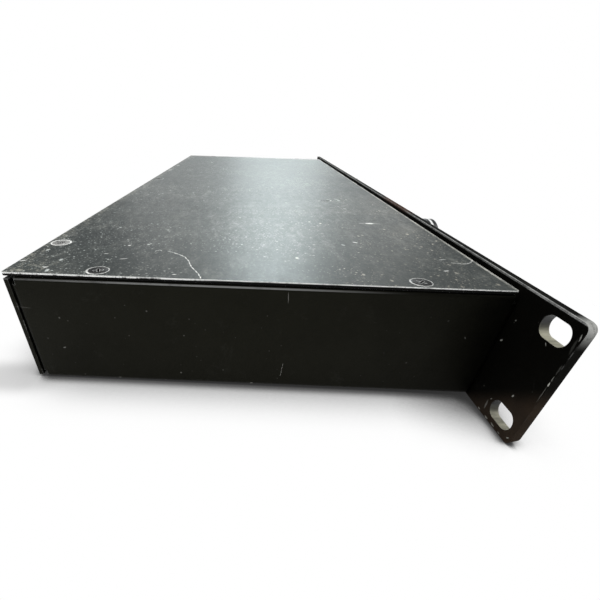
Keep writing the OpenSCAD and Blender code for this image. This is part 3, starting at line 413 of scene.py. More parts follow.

# ---- Top cover ----
# A flat steel sheet in worn satin black paint, dusty and smeared, with its edges rubbed to bare
# metal, most of all at its near rear corner, and a painted highlight along the top of its sides. It
# is let in behind the front panel.


def merged(node_name):
    """A copy of a node's shape with its loose triangles joined up."""
    shape = bmesh.new()
    shape.from_mesh(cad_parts[node_name].data)
    bmesh.ops.remove_doubles(shape, verts=shape.verts, dist=1e-6)
    return shape


def plain_mesh(made):
    """The mesh of an object as its modifiers or its curve make it."""
    seen_now = made.evaluated_get(bpy.context.evaluated_depsgraph_get())
    return bpy.data.meshes.new_from_object(seen_now)


def set_plain(made):
    """Puts an object's plain mesh in place of its modifiers."""
    finished = plain_mesh(made)
    made.modifiers.clear()
    made.data = finished


def softened(node_name, new_name, width, steps=2):
    """A copy of a solid with its sharp edges rounded by width; it stands for that solid."""
    shape = merged(node_name)
    bmesh.ops.dissolve_limit(
        shape, angle_limit=math.radians(0.6), verts=shape.verts, edges=shape.edges,
    )
    mesh = bpy.data.meshes.new(new_name)
    shape.to_mesh(mesh)
    shape.free()
    mesh.polygons.foreach_set("use_smooth", [True] * len(mesh.polygons))
    made = new_object(new_name, mesh)
    rounding = made.modifiers.new("rounding", "BEVEL")
    rounding.width = width
    rounding.segments = steps
    rounding.limit_method = "ANGLE"
    rounding.angle_limit = math.radians(35.0)
    rounding.use_clamp_overlap = True
    flats = made.modifiers.new("flats", "WEIGHTED_NORMAL")
    flats.weight = 100
    flats.keep_sharp = False
    set_plain(made)
    made.data.materials.clear()
    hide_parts(node_name)
    return made


def fit_out(piece, finish, body):
    """Gives a piece its finish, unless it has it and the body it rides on."""
    if finish is not None:
        piece.data.materials.append(finish.material)
    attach(piece, body)


cover = softened("top_cover", "cover_sheet", 0.00022)
paint = Finish("cover_paint", (0.018, 0.019, 0.019), 0.33, specular=0.5)
at_x, at_y, at_z = paint.axes()
to_front = at_y.ramp(cover_hi.y, cover_lo.y)
dust_tint = blend(to_front, (0.6, 0.64, 0.61), (0.66, 0.61, 0.5))
film_tint = blend(to_front, (0.125, 0.145, 0.132), (0.16, 0.15, 0.12))
cloud = paint.noise(11.0, 5.0, 0.6, twist=0.4)
paint.ground(cloud.ramp(0.3, 0.75), (0.008, 0.012, 0.011), (0.026, 0.032, 0.029))
smears = (
    # noise, from, to, how strong
    (paint.noise(26.0, 6.0, 0.72, (1.0, 0.16, 1.0), 0.2), 0.5, 0.85, 0.26),
    (paint.noise(55.0, 6.0, 0.75, (1.0, 0.55, 1.0)), 0.45, 0.85, 0.3),
    (paint.noise(150.0, 6.0, 0.8, (0.4, 1.0, 1.0), 0.6), 0.5, 0.7, 0.5),
    (paint.noise(330.0, 5.0, 0.8, (0.5, 1.0, 1.0), 0.6), 0.5, 0.72, 0.6),
    (paint.noise(640.0, 5.0, 0.8, twist=0.6), 0.5, 0.74, 0.7),
)
patches = paint.noise(19.0, 3.0, 0.6).ramp(0.36, 0.64, 0.4, 1.0)
# the film of dust is thin at the near end, thickest beside it and thinner past the middle
film_gain = at_x.ramp(-0.205, -0.155, 0.5, 1.25) * at_x.ramp(-0.05, 0.09, 1.0, 0.7)
for i, (smear, low, high, strength) in enumerate(smears):
    amount = smear.ramp(low, high) * strength * film_gain
    if i > 1:
        amount = amount * patches
    paint.layer(amount, film_tint if i < 2 else (0.22, 0.225, 0.2))
clumps = paint.noise(24.0, 3.0, 0.6).ramp(0.4, 0.62, 0.15, 1.0)
for scale, size, share, strength, stretch in (
    (1100.0, 0.4, 0.5, 0.6, 1.0), (520.0, 0.3, 0.4, 0.9, 1.0), (240.0, 0.2, 0.35, 1.0, 0.6),
    (90.0, 0.085, 0.35, 1.0, 0.6),
):
    grains = specks(paint, scale, size, share, (stretch, 1.0, 1.0))
    paint.layer(grains * clumps * strength, dust_tint)
rear_edge = at_y.ramp(cover_hi.y - 0.007, cover_hi.y)
corner = near(paint, (cover_lo.x, cover_hi.y, cover_hi.z), 0.026)
corner = reckon("MAXIMUM", corner, rear_edge * 0.75)
chips = corner * paint.noise(520.0, 5.0, 0.85).ramp(0.5, 0.6)
paint.layer(chips * 0.5, (0.6, 0.58, 0.48))
paint.layer(rubbed_edges(paint, 0.0006, 0.3, 0.45) * 0.85, (0.5, 0.5, 0.48))
far_end = at_x.ramp(0.2, 0.2145) * smears[1][0].ramp(0.35, 0.6)
paint.layer(far_end * 0.8, (0.45, 0.42, 0.39))
# a lighter line, broken up, along the cover's front edge
front_line = at_y.ramp(cover_lo.y + 0.0014, cover_lo.y + 0.0006)
front_line_breaks = paint.noise(60.0, 4.0, 0.8).ramp(0.35, 0.6, 0.15, 0.9)
paint.layer(front_line * front_line_breaks, (0.5, 0.49, 0.44))
# where something sharp slid over the cover: half width in mm, strength, points in mm
cover_marks = [
    (0.2, 0.9, -188.4, 122.6, -186.4, 121, -187.6, 120.2),
    (0.25, 0.9, -187.5, 117.8, -189, 115.5, -193.5, 110.5, -199, 108, -204, 106.5, -210, 103.5,
     -214.6, 102),
    (1.5, 1.0, -130.9, 28.4, -130.6, 25.2), (0.8, 0.35, -131, 32, -130.6, 26.4, -131, 21.5),
    (0.45, 0.4, -189.2, 11.5, -190.2, 8, -188.6, 4.4, -185.4, 1.9),
    (1.3, 0.8, 61, 162.5, 55, 164.4), (1.1, 0.8, 98, 161.6, 93, 163.5),
    (1.0, 1.0, -70.6, 37.6, -69.6, 40.2), (1.0, 1.0, -70.8, 30.4, -70.2, 31.2),
    (0.9, 0.8, -64.8, 32.4, -66, 30.4), (0.6, 0.8, -95.2, 32.8, -96.2, 31.2),
    (0.6, 1.0, -166, 42.8, -166.9, 41.3), (0.5, 0.8, -170.6, 48.5, -171.4, 47.5),
    (0.45, 0.8, -198.9, 18.2, -198.3, 16.5), (0.4, 0.5, -186.3, 14.6, -185.4, 12),
    (0.5, 1.0, -182.2, 134.6, -181.7, 133.7), (0.4, 0.7, -193.4, 140.2, -193, 138.9),
    (0.5, 1.0, -209.6, 154.9, -209.2, 153.9), (0.35, 0.7, -198.6, 133, -197.8, 130.4),
    (0.4, 0.8, -211.9, 111.6, -211.7, 110.4), (0.5, 0.9, -204.4, 165.8, -203.2, 164),
    (1.1, 1.0, 66.8, 40.2, 68, 38.2), (1.0, 1.0, 135.6, 132.6, 137, 130.6),
]
where = shaken(paint, 520.0, 0.0007)
pale_marks = strokes(paint, cover_marks, (Vector((0, 0, cover_hi.z)), ACROSS, ALONG), where)
# rings worn round the screws, with painted glints at some: centre, radius and half width in mm,
# strength, brightest side
for x, y, radius, half, strength, side in (
    (-181.5, 161.4, 3.3, 0.9, 1.0, None), (-210.5, 136.4, 3.5, 0.26, 0.6, None),
    (-210.5, 136.4, 3.6, 0.5, 1.0, (-2.5, 2.5)), (-210.5, 30.5, 3.45, 0.22, 0.45, None),
    (-210.5, 30.5, 3.55, 0.4, 0.8, (-1.0, 2.5)), (-71, 39.5, 3.6, 0.4, 1.0, (0.0, -3.0)),
    (71, 39.5, 3.6, 0.3, 0.6, (2.0, 2.0)), (0, 161.4, 3.6, 0.4, 0.8, (-3.0, 0.0)),
    (181.5, 161.4, 3.5, 0.5, 0.9, None), (210.5, 136.4, 3.5, 0.35, 0.8, (0.0, -3.0)),
    (210.5, 30.5, 3.5, 0.3, 0.7, (3.0, 0.0)),
):
    out = vectors(paint, "DISTANCE", where, (x * MM, y * MM, cover_hi.z))
    ring = out.band(radius * MM, half * MM) * strength
    if side:
        brightest_side = ((x + side[0]) * MM, (y + side[1]) * MM, cover_hi.z)
        ring = ring * near(paint, brightest_side, 0.0055)
    pale_marks = reckon("MAXIMUM", pale_marks, ring)
pale_marks = pale_marks * paint.noise(800.0, 3.0, 0.7).ramp(0.3, 0.5, 0.55, 1.0)
paint.layer(pale_marks, (0.86, 0.86, 0.82))
grazed = paint.noise(420.0, 6.0, 0.85, (0.35, 1.0, 1.0))
paint.put("Roughness", grazed.ramp(0.3, 0.7, 0.35, 0.43))
grained(paint, 1300.0, 0.12, 0.0003)

sides = Finish("cover_sides", grey(0.003), 0.6, specular=0.06)
at_x, at_y, at_z = sides.axes()
along_edge = sides.noise(70.0, 5.0, 0.85, (0.0, 1.0, 0.0))
upper = at_z.ramp(cover_hi.z - 0.0006, cover_hi.z - 0.0004)
by_corner = at_y.ramp(cover_hi.y - 0.07, cover_hi.y - 0.06)
bare = upper * by_corner * (at_x < 0.0) * along_edge.ramp(0.42, 0.5)
# a light line along the top of the side faces: bare edge and painted highlight
edge_line_and_highlight = at_z.ramp(cover_hi.z - 0.00042, cover_hi.z - 0.0002)
edge_line_and_highlight = edge_line_and_highlight * along_edge.ramp(0.3, 0.55, 0.25, 1.0)
sides.ground(sides.noise(300.0, 4.0), grey(0.002), (0.006, 0.006, 0.005))
sides.layer(edge_line_and_highlight, (0.92, 0.92, 0.89))
sides.layer(bare, (0.93, 0.93, 0.9))
grained(sides, 900.0, 0.2, 0.0002, 3.0)
for finish in (paint, sides):
    cover.data.materials.append(finish.material)
for face in cover.data.polygons:
    if abs(face.normal.z) < 0.8 and abs(face.center.x) > cover_hi.x - 0.0006:
        face.material_index = 1
fit_out(cover, None, "case")

# ---- Front panel ----
# A flat aluminium plate in satin black, its slots cut after painting so that their walls are bare,
# with painted shade on their upper walls, and its edges worn grey from being slid in and out of
# racks.
CORNER_R = 2.5 * MM
MORE_AT_TOP, MORE_AT_BOTTOM = 1.1 * MM, 1.9 * MM
SLOT_X, SLOT_Z = 0.5 * 465.1 * MM, 0.5 * 31.75 * MM

# the corners are rounder towards the front face than at the back
front = softened("front_panel", "front_plate", 0.0002)
for vert in front.data.vertices:
    sign_x, sign_z = math.copysign(1.0, vert.co.x), math.copysign(1.0, vert.co.z)
    from_x = abs(vert.co.x) - (panel_hi.x - CORNER_R)
    from_z = abs(vert.co.z) - (panel_hi.z - CORNER_R)
    reach = math.hypot(from_x, from_z)
    if from_x > -1e-6 and from_z > -1e-6 and reach > 0.5 * CORNER_R:
        to_face = (panel_hi.y - vert.co.y) / (panel_hi.y - panel_lo.y)
        more = (MORE_AT_TOP if sign_z > 0 else MORE_AT_BOTTOM) * to_face
        vert.co.x = sign_x * (panel_hi.x - CORNER_R - more + (reach + more) * from_x / reach)
        vert.co.z = sign_z * (panel_hi.z - CORNER_R - more + (reach + more) * from_z / reach)
coat = powder_coat(
    "front_coat", (0.0018, 0.0017, 0.0014), 0.6, 0.035, (0.12, 0.12, 0.115), (0.5, 0.66), 0.18,
)
at_x, at_y, at_z = coat.axes()
# painted highlight: a light line along the top back edge, where the panel's top face catches light
painted_rim_highlight = (
    at_z.band(panel_hi.z - 0.0002, 0.0004) * at_y.band(panel_hi.y, 0.0006)
    * coat.noise(160.0, 6.0, 0.85).ramp(0.35, 0.6, 0.3, 1.0)
)
coat.layer(painted_rim_highlight, (0.32, 0.32, 0.31))
# painted reflection: a brown tint along the top edge over part of the panel's width
painted_brown_reflection = at_x.band(-0.084, 0.032) * at_z.ramp(panel_hi.z - 0.0012, panel_hi.z - 0.0006)
coat.layer(painted_brown_reflection * 0.7, (0.07, 0.032, 0.02))
for side in (panel_lo.x, panel_hi.x):
    worn_corner = (
        near(coat, (side, 0.5 * (panel_lo.y + panel_hi.y), panel_hi.z), 0.0075)
        * (at_y < panel_hi.y - 0.0002)
        * coat.noise(380.0, 6.0, 0.8).ramp(0.3, 0.5, 0.35, 1.0)
    )
    coat.layer(worn_corner, (0.42, 0.42, 0.4))
# the ears are browner below a line that slants up from the case's side to their ends
BROWN_X, BROWN_Z, BROWN_SLANT = 0.2197, 0.0153, 0.785
outward = abs(at_x) - BROWN_X
brown = (at_z + BROWN_Z - outward * BROWN_SLANT).ramp(0.001, -0.009)
brown = brown * coat.noise(120.0, 4.0).ramp(0.3, 0.6, 0.7, 1.0)
coat.layer(brown, (0.028, 0.019, 0.013))
# chips of the near ear's rear face: half width in mm, strength, points in mm
ear_marks = [
    (0.35, 0.08, 240.75, 9.6, 240.8, 6.6), (0.16, 0.35, 240.75, 5.9, 240.8, 4.3),
    (0.32, 1.0, 240.75, 3.7, 240.75, 2.6), (0.2, 0.14, 240.75, 2.4, 240.75, -3.4),
    (0.25, 0.5, 240.4, 18.9, 240.7, 17.3), (0.5, 0.05, 240.1, 17.4, 240.5, 13.2),
    (0.3, 0.2, 212.4, 11.4, 212.9, 11.8), (0.3, 0.25, 217.4, 11.5, 217.9, 11.8),
    (0.4, 0.6, 215.9, 3.2, 216.6, 3.8), (0.35, 0.6, 232.4, -8.1, 232.7, -7.4),
    (0.3, 0.35, 225.3, -14.9, 225.7, -14.5), (0.25, 0.5, 222.2, -21.3, 223.4, -21.4),
    (0.4, 0.4, 226.9, -21.3, 228.6, -21.4), (0.35, 0.4, 230.9, -21.1, 232.6, -21.3),
    (0.25, 0.3, 235.2, -21.2, 236.2, -21.3), (0.3, 0.5, 239.3, -19.9, 240, -19.3),
    (0.25, 0.35, 232.2, 11.7, 232.7, 11.2), (0.5, 0.2, 224.6, -16.2, 224.9, -19.4),
]
ear_back = (Vector((0, panel_hi.y, 0)), -ACROSS, UPWARD)
pale_marks = strokes(coat, ear_marks, ear_back, shaken(coat, 900.0, 0.0005))
coat.layer(pale_marks, (0.55, 0.55, 0.5))

slot_metal = Finish("slot_metal", (0.36, 0.34, 0.26), 0.5, metal=0.3)
at_x, at_y, at_z = slot_metal.axes()
rubbed = slot_metal.noise(140.0, 5.0, 0.7, (1.0, 0.2, 1.0))
# painted shade: each slot's walls are dark above its middle, where they face down, and bare metal
# below
to_middle = reckon("SIGN", at_z) * SLOT_Z
painted_slot_shade = (at_z - to_middle).ramp(0.0004, -0.0038)
bare = blend(rubbed.ramp(0.3, 0.65), (0.17, 0.165, 0.13), (0.55, 0.53, 0.4))
slot_metal.ground(painted_slot_shade, grey(0.03), bare)
grained(slot_metal, 900.0, 0.25, 0.0003, 3.0)

face_coat = powder_coat(
    "face_coat", (0.0045, 0.0044, 0.0042), 0.4, 0.3, (0.14, 0.14, 0.135), (0.5, 0.66), 0.15,
)
face_coat.put("Specular Tint", (1.0, 0.99, 0.97, 1.0))
for finish in (coat, slot_metal, face_coat):
    front.data.materials.append(finish.material)
for face in front.data.polygons:
    off_x, off_z = abs(abs(face.center.x) - SLOT_X), abs(abs(face.center.z) - SLOT_Z)
    if off_x < 0.006 and off_z < 0.0036 and abs(face.normal.y) < 0.5:
        face.material_index = 1
    elif face.center.y < panel_lo.y + 0.0001:
        face.material_index = 2
fit_out(front, None, "case")

# ---- Screws ----
# Steel cross-recess screws, chemically blackened: countersunk ones hold the cover and
# the front panel, pan heads the rear panel and the connectors. Handling wears their rims, and the
# bright rims carry a painted glint too.


def solid_centres(node_name):
    """The middle of each separate solid of a node."""
    shape = merged(node_name)
    left = set(shape.verts)
    found = []
    while left:
        group = [left.pop()]
        for vert in group:
            for edge in vert.link_edges:
                other = edge.other_vert(vert)
                if other in left:
                    left.remove(other)
                    group.append(other)
        lows = Vector(min(v.co[i] for v in group) for i in range(3))
        highs = Vector(max(v.co[i] for v in group) for i in range(3))
        found.append((lows + highs) / 2)
    shape.free()
    return sorted(found, key=lambda at: tuple(round(c, 5) for c in at))


RINGS = ("Foot", "Neck", "Seat", "Shoulder", "Top")
RECESS = ("Recess Length", "Recess Width", "Recess Depth")


def turned_tree():
    """Turned pieces on points: a body through five rings, with a cross recess in its top."""
    tree = bpy.data.node_groups.new("turned_pieces", "GeometryNodeTree")
    inputs = {"Centres": "Geometry"}
    inputs.update({ring + size: "Float" for ring in RINGS for size in (" Radius", " Height")})
    inputs.update({name: "Float" for name in (*RECESS, "Turn Spread")})
    inputs.update({"Sides": "Int", "Seed": "Int", "Facing": "Rotation", "Finish": "Material"})
    for name, kind in inputs.items():
        tree.interface.new_socket(name, in_out="INPUT", socket_type="NodeSocket" + kind)
    tree.interface.new_socket("Pieces", in_out="OUTPUT", socket_type="NodeSocketGeometry")
    given = tree.nodes.new("NodeGroupInput").outputs

    body = add(tree, "GeometryNodeMeshCylinder", {
        "Vertices": given["Sides"], "Side Segments": len(RINGS) - 1, "Radius": 1.0, "Depth": 1.0,
    })
    where = tree.nodes.new("GeometryNodeInputPosition").outputs[0]
    at_x, at_y, at_z = map(Field, add(tree, "ShaderNodeSeparateXYZ", {0: where}).outputs)
    ring_no = reckon("ROUND", (at_z + 0.5) * (len(RINGS) - 1.0))
    picked = []
    for size in (" Radius", " Height"):
        pick = tree.nodes.new("GeometryNodeIndexSwitch")
        pick.data_type = "FLOAT"
        while len(pick.index_switch_items) < len(RINGS):
            pick.index_switch_items.new()
        tree.links.new(ring_no.socket, pick.inputs["Index"])
        for i, ring in enumerate(RINGS):
            tree.links.new(given[ring + size], pick.inputs[i + 1])
        picked.append(Field(pick.outputs[0]))
    radius, height = picked
    moved = add(tree, "ShaderNodeCombineXYZ", {0: at_x * radius, 1: at_y * radius, 2: height})
    turned = add(tree, "GeometryNodeSetPosition", {"Geometry": body, "Position": moved})

    cutters = tree.nodes.new("GeometryNodeJoinGeometry")
    for angle in (0.0, math.pi / 2):
        size = add(tree, "ShaderNodeCombineXYZ", {
            0: given["Recess Length"], 1: given["Recess Width"],
            2: Field(given["Recess Depth"]) * 2.0,
        })
        blade = add(tree, "GeometryNodeMeshCube", {"Size": size})
        lift = add(tree, "ShaderNodeCombineXYZ", {2: given["Top Height"]})
        put = add(tree, "GeometryNodeTransform", {
            "Geometry": blade, "Translation": lift, "Rotation": (0.0, 0.0, angle),
        })
        tree.links.new(put.outputs[0], cutters.inputs[0])
    blades = {"Mesh 1": turned, "Mesh 2": cutters}
    cut = add(tree, "GeometryNodeMeshBoolean", blades, operation="DIFFERENCE")
    has_recess = add(tree, "FunctionNodeCompare", {
        0: given["Recess Depth"], 1: 0.0,
    }, data_type="FLOAT", operation="GREATER_THAN")
    choice = {"Switch": has_recess, "False": turned, "True": cut}
    chosen = add(tree, "GeometryNodeSwitch", choice, input_type="GEOMETRY")

    spin = add(tree, "FunctionNodeRandomValue", {
        "Min": 0.0, "Max": given["Turn Spread"], "Seed": given["Seed"],
    }, data_type="FLOAT")
    own_turn = add(tree, "ShaderNodeCombineXYZ", {2: spin.outputs["Value"]})
    own_turn = add(tree, "FunctionNodeEulerToRotation", {0: own_turn})
    turns = {0: given["Facing"], 1: own_turn}
    whole_turn = add(tree, "FunctionNodeRotateRotation", turns, rotation_space="LOCAL")
    spread = add(tree, "GeometryNodeInstanceOnPoints", {
        "Points": given["Centres"], "Instance": chosen, "Rotation": whole_turn,
    })
    real = add(tree, "GeometryNodeRealizeInstances", {0: spread})
    dressed = add(tree, "GeometryNodeSetMaterial", {"Geometry": real, "Material": given["Finish"]})
    add(tree, "NodeGroupOutput", {0: dressed})
    return tree


turned_pieces = turned_tree()


def turned_on(name, centres, facing, rings, finish, recess=(0, 0, 0), seed=1):
    """Turned pieces at centres, facing +Z turned by facing; rings are (radius, height) in mm."""
    mesh = bpy.data.meshes.new(name)
    mesh.from_pydata([tuple(at) for at in centres], [], [])
    made = new_object(name, mesh)
    maker = made.modifiers.new("turned", "NODES")
    maker.node_group = turned_pieces
    sizes = {"Sides": 32, "Seed": seed, "Turn Spread": 3.1, "Facing": facing,
             "Finish": finish.material}
    for ring, (radius, height) in zip(RINGS, rings):
        sizes[ring + " Radius"] = radius * MM
        sizes[ring + " Height"] = height * MM
    for label, value in zip(RECESS, recess):
        sizes[label] = value * MM
    for item in turned_pieces.interface.items_tree:
        if item.in_out == "INPUT" and item.name in sizes:
            maker[item.identifier] = sizes[item.name]
    set_plain(made)
    made.data.polygons.foreach_set("use_smooth", [True] * len(made.data.polygons))
    made.data.set_sharp_from_angle(angle=math.radians(32.0))
    return made


screw_black = Finish("screw_black", grey(0.02), 0.4, metal=0.4)
# the rims' edges are lighter: rubbing wear, and a painted glint
rim_wear_and_glint = rubbed_edges(screw_black, 0.00035, 0.3, 0.5)
smudge = screw_black.noise(420.0, 4.0, 0.7).ramp(0.4, 0.7)
screw_black.ground(smudge, grey(0.007), (0.03, 0.029, 0.027))
screw_black.layer(rim_wear_and_glint * 0.9, (0.72, 0.72, 0.7))
# the rear screw nearest the near corner is rubbed bare round the rim of its head, painted bright for
# its glint too
bright_rim_screw = (-0.1815, 0.1614, cover_hi.z)
rubbed_bare_and_glint = (
    near(screw_black, bright_rim_screw, 0.0055)
    * reckon("SUBTRACT", 1.0, near(screw_black, bright_rim_screw, 0.0035))
    * screw_black.axes()[2].ramp(cover_hi.z - 0.0003, cover_hi.z - 0.0001)
    * screw_black.noise(700.0, 4.0, 0.7).ramp(0.3, 0.5)
)
screw_black.layer(rubbed_bare_and_glint, (0.85, 0.84, 0.8))
grained(screw_black, 2200.0, 0.15, 0.0002)

UP, AHEAD, BACK = (0.0, 0.0, 0.0), (math.pi / 2, 0.0, 0.0), (-math.pi / 2, 0.0, 0.0)
SUNK = [(1.45, -6), (1.45, -1.1), (3.34, -0.12), (3.4, -0.06), (3.3, 0)]
PAN = [(1.45, -6), (1.45, 0), (2.7, 0), (2.8, 0.75), (2.0, 1.6)]
SUNK_CROSS, PAN_CROSS = (3.3, 0.75, 0.55), (3.0, 0.8, 0.9)
PAN_HEIGHT = 1.6 * MM


def set_level(centres, axis, value):
    """The centres moved to one value along an axis."""
    moved = []
    for at in centres:
        at = at.copy()
        at[axis] = value
        moved.append(at)
    return moved


# the heads face out at the lower (0) or upper (1) end of an axis, and stand proud by a height
for node_name, axis, end, proud, facing, rings, recess in (
    ("cover_screws", 2, 1, 0.0, UP, SUNK, SUNK_CROSS),
    ("front_panel_screws", 1, 0, 0.0, AHEAD, SUNK, SUNK_CROSS),
    ("rear_panel_screws", 1, 1, PAN_HEIGHT, BACK, PAN, PAN_CROSS),
    ("connector_screws", 1, 1, PAN_HEIGHT, BACK, PAN, PAN_CROSS),
):
    heads = set_level(solid_centres(node_name), axis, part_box(node_name)[end][axis] - proud)
    screws = turned_on(
        node_name + "_turned", heads, facing, rings, screw_black, recess, seed=len(node_name),
    )
    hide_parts(node_name)
    fit_out(screws, None, "case")

# ---- Data wheel ----
# A large turned wheel of glossy black plastic with a finger dimple in its face and a
# painted highlight band round its rim. Its face is finely scratched round and round.
wheel_lo, wheel_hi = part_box("data_wheel")


def turned_plastic(name, rgb, rough, middle, ring_pitch, painted_highlight_band=None):
    """Moulded plastic with fine rings about an axis along Y and, if given, a painted highlight band.

    The band is its Y, half its width and the radius within which there is none.
    """
    plastic = Finish(name, rgb, rough)
    where = vectors(plastic, "SUBTRACT", plastic.spot(), middle)
    flat = vectors(plastic, "MULTIPLY", where, (1.0, 0.0, 1.0))
    out = vectors(plastic, "LENGTH", flat)
    wear = plastic.noise(130.0, 5.0, 0.7)
    plastic.layer(wear.ramp(0.4, 0.75), shaded(rgb, 1.8))
    plastic.layer(specks(plastic, 800.0, 0.2, 0.05) * 0.4, (0.5, 0.5, 0.47))
    if painted_highlight_band:
        band_y, band_half, least_radius = painted_highlight_band
        # painted highlight: a bright band round the rim, where the glossy side catches light
        painted_highlight = (
            plastic.axes()[1].band(band_y, band_half) * (out > least_radius)
            * wear.ramp(0.25, 0.4, 0.75, 1.0)
        )
        plastic.layer(painted_highlight, (0.86, 0.86, 0.84))
    plastic.put("Roughness", wear.ramp(0.3, 0.8, rough - 0.06, rough + 0.1))
    bump(plastic, reckon("SINE", out * (2 * math.pi / ring_pitch)), 0.05, 0.0002)
    return plastic


wheel = softened("data_wheel", "control_wheel", 0.0003, steps=3)
wheel_black = turned_plastic(
    "wheel_black", (0.012, 0.012, 0.0125), 0.2, (wheel_lo + wheel_hi) / 2, 0.0006,
    (wheel_lo.y + 0.0028, 0.0008, 0.0172),
)
fit_out(wheel, wheel_black, "data_wheel")

# ---- Level knob and its scale ----
# A small fluted knob in satin black with a painted highlight band round its rim and a white pointer,
# and round it a scale of eleven white strokes and the figures 0 and 10 printed on the panel.
knob_lo, knob_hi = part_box("level_knob")
knob_middle = (knob_lo + knob_hi) / 2
knob = softened("level_knob", "monitor_knob", 0.00018)
knob_black = turned_plastic(
    "knob_black", (0.016, 0.016, 0.017), 0.36, knob_middle, 0.0005,
    (knob_lo.y + 0.0012, 0.0009, 0.0058),
)
fit_out(knob, knob_black, "level_knob")
panel_face = panel_lo.y
PRINT = 0.00006


def joined(name, shapes):
    """One object from several bmesh shapes."""
    whole = bpy.data.meshes.new(name)
    together = bmesh.new()
    for shape in shapes:
        part = bpy.data.meshes.new("part")
        shape.to_mesh(part)
        shape.free()
        together.from_mesh(part)
        bpy.data.meshes.remove(part)
    together.to_mesh(whole)
    together.free()
    return new_object(name, whole)


def flat_bar(shape_list, middle, size, turn=0.0):
    """Adds a thin upright bar, facing -Y: size is width, thickness, height."""
    shape = bmesh.new()
    bmesh.ops.create_cube(shape, size=1.0)
    bmesh.ops.scale(shape, vec=size, verts=shape.verts)
    bmesh.ops.rotate(shape, matrix=Matrix.Rotation(turn, 3, "Y"), verts=shape.verts)
    bmesh.ops.translate(shape, vec=middle, verts=shape.verts)
    shape_list.append(shape)


def figure(shape_list, text, middle, height):
    """Adds a printed figure on a face that looks along -Y."""
    curve = bpy.data.curves.new("figure", "FONT")
    curve.body = text
    curve.size = height / 0.72
    curve.align_x, curve.align_y = "CENTER", "CENTER"
    curve.extrude = 0.00004
    curve.resolution_u = 4
    held = new_object("figure", curve)
    mesh = plain_mesh(held)
    mesh.transform(Matrix.Translation(middle) @ Matrix.Rotation(math.pi / 2, 4, "X"))
    shape = bmesh.new()
    shape.from_mesh(mesh)
    shape_list.append(shape)
    bpy.data.objects.remove(held)
    bpy.data.meshes.remove(mesh)


def round_knob(turn, radius, sink=0.0):
    """A point of the panel's face at a turn and radius about the level knob."""
    return (
        knob_middle.x + radius * math.sin(turn), panel_face - sink,
        knob_middle.z + radius * math.cos(turn),
    )


scale_marks = []
for i in range(11):
    turn = math.radians(-150.0 + 30.0 * i)
    radius, length = (0.0088, 0.0011) if i % 5 else (0.0092, 0.0018)
    flat_bar(scale_marks, round_knob(turn, radius, 0.00002), (0.00032, PRINT, length), turn)
for text, turn in (("0", -150.0), ("10", 150.0)):
    figure(scale_marks, text, round_knob(math.radians(turn), 0.0119), 0.0017)
print_white = Finish("print_white", (0.72, 0.72, 0.7), 0.55, specular=0.3)
thin = print_white.noise(900.0, 4.0, 0.75).ramp(0.4, 0.62)
print_white.ground(thin, (0.42, 0.42, 0.4), (0.76, 0.76, 0.73))
grained(print_white, 3000.0, 0.1, 0.0001)
fit_out(joined("knob_scale", scale_marks), print_white, "case")

pointer = []
line_middle = (knob_middle.x, knob_lo.y + 0.00025, knob_middle.z + 0.0036)
flat_bar(pointer, line_middle, (0.0008, 0.0005, 0.0036))
fit_out(joined("knob_pointer", pointer), print_white, "level_knob")

# ---- Buttons ----
# Four round push buttons moulded in dark grey, their faces slightly glossier where
# fingers have rubbed them.
button_grey = Finish("button_grey", (0.035, 0.036, 0.038), 0.45, specular=0.4)
handling = button_grey.noise(260.0, 5.0, 0.7)
button_grey.ground(handling.ramp(0.35, 0.7), (0.03, 0.031, 0.033), (0.055, 0.056, 0.057))
button_grey.layer(rubbed_edges(button_grey, 0.0003, 0.35, 0.6) * 0.5, grey(0.2))
button_grey.put("Roughness", handling.ramp(0.3, 0.75, 0.5, 0.34))
grained(button_grey, 2600.0, 0.12, 0.0002)
for body in ("sync_button", "menu_button", "channel_a_button", "channel_b_button"):
    fit_out(softened(body, body + "_cap", 0.00022), button_grey, body)

# ---- Displays ----
# Each display is a framed liquid crystal panel under a smoked window that is let into
# the front panel. The panel is unlit: grey-green, with its dots just showing.
DOT_PITCH = 0.0006
frame_black = Finish("frame_black", (0.02, 0.02, 0.021), 0.5)
at_x, at_y, at_z = frame_black.axes()
glass_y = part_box("display_module_a")[0].y + 0.0004
on_glass = (at_y > glass_y) * (at_y < glass_y + 0.0006)
waves = [reckon("SINE", along * (2 * math.pi / DOT_PITCH)) for along in (at_x, at_z)]
dots = reckon("MINIMUM", *waves).ramp(-0.9, -0.4)
for along, pitch, gap in ((at_x, 0.0036, 0.17), (at_z, 0.0066, 0.27)):
    dots = dots * (reckon("FRACT", along / pitch) > gap)
glass = frame_black.noise(30.0, 3.0).ramp(0.3, 0.8)
glass = blend(glass, (0.4, 0.46, 0.37), (0.46, 0.51, 0.42))
glass = blend(dots * 0.55, glass, (0.17, 0.2, 0.17))
metal = frame_black.noise(300.0, 3.0).ramp(0.3, 0.7)
frame_black.ground(metal, (0.016, 0.016, 0.017), (0.03, 0.03, 0.031))
frame_black.layer(on_glass, glass)
grained(frame_black, 1800.0, 0.05, 0.0002)
give(frame_black, "display_module_a", "display_module_b")


def clear_plastic(name, rgb, rough, clear):
    """Tinted clear plastic, faintly smeared and dusty."""
    plastic = Finish(name, rgb, rough)
    plastic.put("Transmission Weight", clear)
    plastic.put("IOR", 1.49)
    smear = plastic.noise(80.0, 5.0, 0.7)
    plastic.put("Roughness", smear.ramp(0.4, 0.8, rough, rough + 0.12))
    plastic.layer(smear, shaded(rgb, 0.85))
    plastic.layer(specks(plastic, 700.0, 0.2, 0.05) * 0.35, (0.5, 0.5, 0.48))
    return plastic


smoked = clear_plastic("smoked_window", (0.5, 0.53, 0.52), 0.03, 1.0)
give(smoked, *[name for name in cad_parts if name.startswith("display_window")])
give(clear_plastic("red_filter", (0.03, 0.001, 0.003), 0.06, 0.3), "sync_window")

